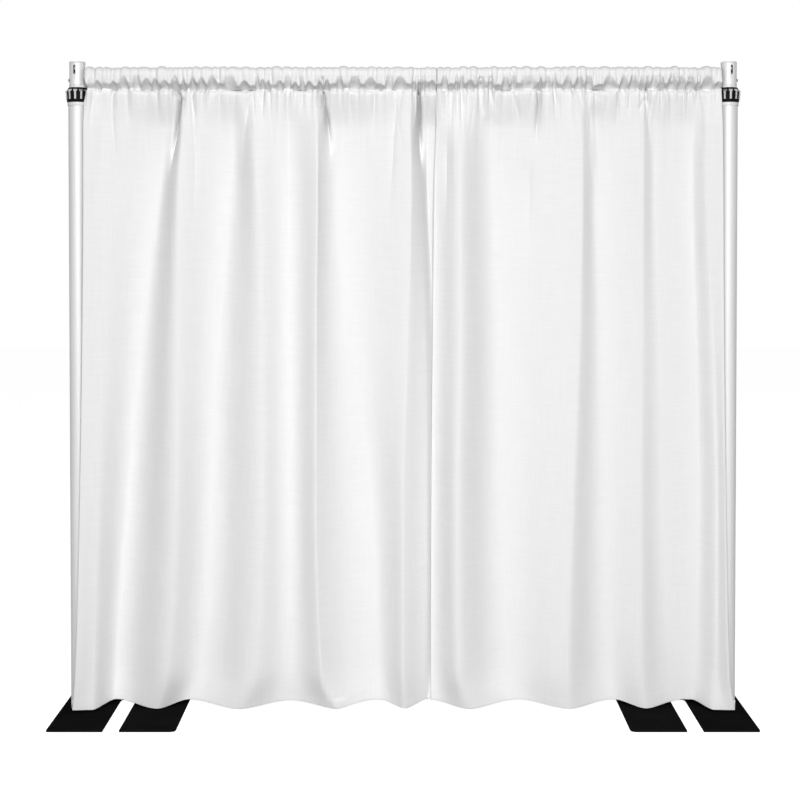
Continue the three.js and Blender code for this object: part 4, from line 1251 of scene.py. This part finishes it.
    def sheet(self, x, z):
        """Depth of the hanging cloth below the seam, where the gathers turn into the folds."""
        drop = SEAM_Z - z
        folds, _ = self.folds(x, z)
        below = smooth(drop / FOLD_RUN)
        seam = self.seam_depth(x)
        shallow = SEAM_FRONT + HOLLOW_KEPT * (seam - SEAM_FRONT)
        kept = math.exp(-(max(drop, 0) / HOLLOW_RUN) ** HOLLOW_FADE_POWER)
        seam = shallow + (seam - shallow) * kept
        flare = FLARE * smooth(drop / FLARE_RUN)
        set_back = SET_BACK * math.exp(-max(drop, 0) / SET_BACK_RUN)
        wander = sum(w.at(x + WANDER_SHIFT * i) for i, w in enumerate(self.sway[:2])) * WANDER
        long_wave = self.sway[2].at(x) * LONG_WAVE * smooth(drop / LONG_WAVE_RUN)
        return (seam * (1 - below) + folds * below - self.gathers(x, flare, drop) + set_back
                + self.creases(CREASES, x, z) + (wander + long_wave) * below)


def pocket_rows():
    """Rows up the front of the pocket, over the crossbar and down its back: (stretch, share)."""
    return [*[("front", t) for t in np.linspace(0, 1, FRONT_ROWS + 1)[:-1]],
            *[("round", t) for t in np.linspace(0, 1, ROUND_ROWS + 1)],
            *[("back", t) for t in np.linspace(0, 1, BACK_ROWS + 1)[1:]],
            ("tail", 0.5), ("tail", 1.0)]


def sheet_rows():
    """Shares of the drop from the hem up to the seam, closer together near the seam."""
    steps = [FIRST_ROW]
    while sum(steps) < SHEET_DROP:
        steps.append(min(steps[-1] * ROW_GROWTH, LAST_ROW))
    drops = np.concatenate([[0], np.cumsum(steps)])
    drops = np.sort(np.concatenate([drops, drops[-1] - EXTRA_ROWS]))
    return (drops / drops[-1])[::-1][:-1]


def pocket_front(panel, x, share):
    """The pocket's front, from the seam up to the bar's height, kept clear of the bar."""
    seam_z = panel.seam_height(x)
    lift = (POCKET_Z - seam_z) * share
    z = seam_z + lift
    y = SEAM_FRONT - panel.forward(x) * (1 - share)
    y = y + (-POCKET_R - RIDGE_LIFT - SEAM_FRONT) * share ** FRONT_POWER
    y += (RIDGE_LIFT + (HOLLOW_DEPTH - RIDGE_LIFT) * (1 - share)) * panel.hollow(x, lift)
    y -= panel.gathers(x, PUFFS_OVER * smooth(share / PUFFS_FRONT_RUN), -FRONT_RISE * share)
    y += panel.creases(GROOVES, x, z)
    soft = sum(FRONT_WAVE * wave.at(x + lean * share)
               for wave, lean in zip(panel.belly, FRONT_WAVE_LEANS))
    y += soft * math.sin(math.pi * share)
    bar = np.sqrt(np.clip((BAR_R + BAR_GAP) ** 2 - (z - BAR_Z) ** 2, 0, None))
    return x, np.where(bar > 0, np.minimum(y, -bar), y), z


def round_angle(share):
    """Angle round the bar: from the front over the top to where the back leaves it."""
    return math.pi / 2 + share * (2 * math.pi - TOUCH - math.pi / 2)


def pocket_round(panel, x, share):
    """The pocket over the crossbar, whose ridge sinks where a hollow or groove comes up to it."""
    angle = round_angle(share)
    z_here = POCKET_Z - POCKET_R * math.cos(angle)
    ridge = RIDGE_LIFT * (RIDGE_KEPT + (1 - RIDGE_KEPT) * (1 - smooth(share / RIDGE_RUN)))
    if share < SINK_END:
        hollow_here = panel.hollow(x, z_here - panel.seam_height(x))
        ridge = ridge * (1 - np.minimum(RIDGE_SINK * hollow_here, 1))
        ridge = ridge - np.minimum(panel.creases(GROOVES, x, z_here), ridge)
    level = PUFFS_OVER - PUFFS_ROUND_LOST * smooth(share / PUFFS_ROUND_RUN)
    lift = ridge + panel.gathers(x, level, -FRONT_RISE - ROUND_RISE * share)
    ripple = ROUND_WAVE * (panel.sway[3].at(x + share * ROUND_WAVE_LEAN) + 1)
    radius = POCKET_R + lift + ripple * smooth(share / ROUND_WAVE_RUN)
    narrow = pocket_narrow(x, max(0.0, share - DRAW_FROM) * DRAW_RATE)
    return narrow, -radius * np.sin(angle), POCKET_Z - radius * np.cos(angle)


def pocket_back(panel, x, share):
    """The pocket's back, from the bar down to the seam."""
    seam = panel.seam_depth(pocket_narrow(x, 1.0))
    level = PUFFS_BACK - PUFFS_BACK_LOST * share
    lift = panel.gathers(x, level, -FRONT_RISE - ROUND_RISE) + RIDGE_KEPT * RIDGE_LIFT
    y = POCKET_R * math.sin(TOUCH) * (1 - share) + (seam + BACK_LAYER) * share + lift * (1 - share)
    z = ((POCKET_Z - POCKET_R * math.cos(TOUCH)) * (1 - share)
         + (panel.seam_height(x) - BACK_SEAM) * share)
    return pocket_narrow(x, 0.5 + 0.5 * share), y, z


def pocket_tail(panel, x, share):
    """The pocket's tail, which hangs a little below the seam behind the drape."""
    drawn_in = pocket_narrow(x, 1.0)
    near = panel.sheet(drawn_in, float(SEAM_Z - BACK_SEAM - TAIL_DROP * share))
    return drawn_in, near + TAIL_LAYER, panel.seam_height(x) - BACK_SEAM - TAIL_DROP * share


POCKET_STRETCHES = {"front": pocket_front, "round": pocket_round, "back": pocket_back,
                    "tail": pocket_tail}


def pocket_narrow(x, share):
    """Draws the back of the pocket in at its outer end, clear of the lock ring."""
    keep = (DRAW_END - DRAW_START) / (POCKET_END - DRAW_START)
    inset = 1 + (keep - 1) * share
    drawn = np.sign(x) * (DRAW_START + (np.abs(x) - DRAW_START) * inset)
    return np.where(np.abs(x) > DRAW_START, drawn, x)


def column_shares(panel, columns):
    """Shares across the panel for the mesh's columns: even ones, and close ones at each crease."""
    shares = np.linspace(0, 1, columns)
    width = panel.right_end - panel.left_end
    for line, deep, *_ in GROOVES + CREASES:
        near = [across / 1000 for across, _ in (line if deep > DEEP else line[:2])]
        close = np.arange(min(near) - CREASE_REACH, max(near) + CREASE_REACH, CREASE_COLUMN)
        shares = np.append(shares, (close - panel.left_end) / width)
    shares = shares[(shares >= 0) & (shares <= 1)] * width
    shares = np.unique(np.round(shares / LEAST_COLUMN) * LEAST_COLUMN / width)
    return np.clip(shares, 0, 1)


def make_panel(name, panel, columns, body, node):
    """The panel as one strip of cloth: turned-up hem, front, pocket over the crossbar, and tail."""
    shares = column_shares(panel, columns)
    turns = len(SIDE_TURNS)
    behind = np.concatenate([np.ones(turns), np.zeros(len(shares)), np.ones(turns)])
    along = np.concatenate([-SIDE_TURNS, shares * CUT_WIDTH, CUT_WIDTH + SIDE_TURNS[::-1]])
    rows, places = [], []

    def across(low, high):
        middle = low + (high - low) * shares
        return np.concatenate([low + SIDE_TURNS, middle, high - SIDE_TURNS[::-1]])

    def add_row(x, y, z, down):
        rows.append(np.stack([x, y, z], 1))
        places.append(np.stack([along, np.full(len(x), down), np.zeros(len(x))], 1))

    for lift, back in HEM_ROWS:
        x = across(*panel.edges(HEM_Z))
        _, hem = panel.folds(x, HEM_Z)
        z = hem + lift
        if lift > HEM_FLAT:
            y = np.array([panel.sheet(np.array([xi]), float(zi))[0] for xi, zi in zip(x, z)])
        else:
            y = panel.sheet(x, HEM_Z)
        add_row(x, y + HEM_TURN * (back + behind), z, -lift)
    for share in sheet_rows():
        level = HEM_Z + (SEAM_Z - HEM_Z) * (1 - share)
        x = across(*panel.edges(level))
        _, hem = panel.folds(x, level)
        top = panel.seam_height(x)
        add_row(x, panel.sheet(x, level) + HEM_TURN * behind, top + (hem - top) * share,
                SEAM_Z - level + POCKET_CLOTH)
    for stretch, share in pocket_rows():
        x, y, z = POCKET_STRETCHES[stretch](panel, across(panel.left_end, panel.right_end), share)
        layer = SIDE_LAYER * behind
        if stretch == "round":
            angle = round_angle(share)
            y, z = y + layer * math.sin(angle), z + layer * math.cos(angle)
        else:
            y = y + layer * (1 if stretch == "front" else -1)
        before, run = POCKET_RUN[stretch]
        add_row(x, y, z, POCKET_CLOTH - (before + run * share))
    return sewn(name, np.array(rows), np.array(places), body, node)


def sewn(name, grid, places, body, node):
    """Joins a panel's rows into cloth with a thickness, and keeps each place on the flat cloth."""
    index = np.arange(grid.shape[0] * grid.shape[1]).reshape(grid.shape[:2])
    corners = [index[:-1, :-1], index[:-1, 1:], index[1:, 1:], index[1:, :-1]]
    faces = np.stack(corners, -1).reshape(-1, 4)
    cloth = new_piece(name, grid.reshape(-1, 3), faces, white_cloth)
    layer = cloth.data.attributes.new("cloth_place", "FLOAT_VECTOR", "POINT")
    layer.data.foreach_set("vector", places.astype(np.float32).ravel())
    thickness = cloth.modifiers.new("cloth_body", "SOLIDIFY")
    thickness.thickness = CLOTH_THICK
    thickness.offset = 0
    settled(cloth)
    return set_on(cloth, body, "white_cloth", node)


left_panel = Panel(LEFT_FOLDS, LEFT_PINCHES, LEFT_HOLLOWS, outer_end=-POCKET_END,
                   inner_end=0.0942, fullness=0.30, seed=5)
right_panel = Panel(RIGHT_FOLDS, RIGHT_PINCHES, RIGHT_HOLLOWS, outer_end=POCKET_END,
                    inner_end=0.0948, fullness=0.36, seed=9)
left_cloth = make_panel("drape_cloth_left", left_panel, columns=520, body="bar_outer",
                        node="drape_left")
right_cloth = make_panel("drape_cloth_right", right_panel, columns=430, body="bar_inner",
                         node="drape_right")


# Finishes of the solids that keep their own form

def dress(node, material):
    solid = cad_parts[node]
    solid.data.materials.clear()
    solid.data.materials.append(material)


CARRIED_OVER = {"base_pin": zinc, "base_screw": zinc, "upper_tube": aluminium_up,
                "guide_bush": nylon, "bar_plug": nylon, "bar_hook": zinc, "hook_pin": zinc}
for _, label in SIDES:
    for node, material in CARRIED_OVER.items():
        dress(f"{node}_{label}", material)
dress("bar_bush", nylon)
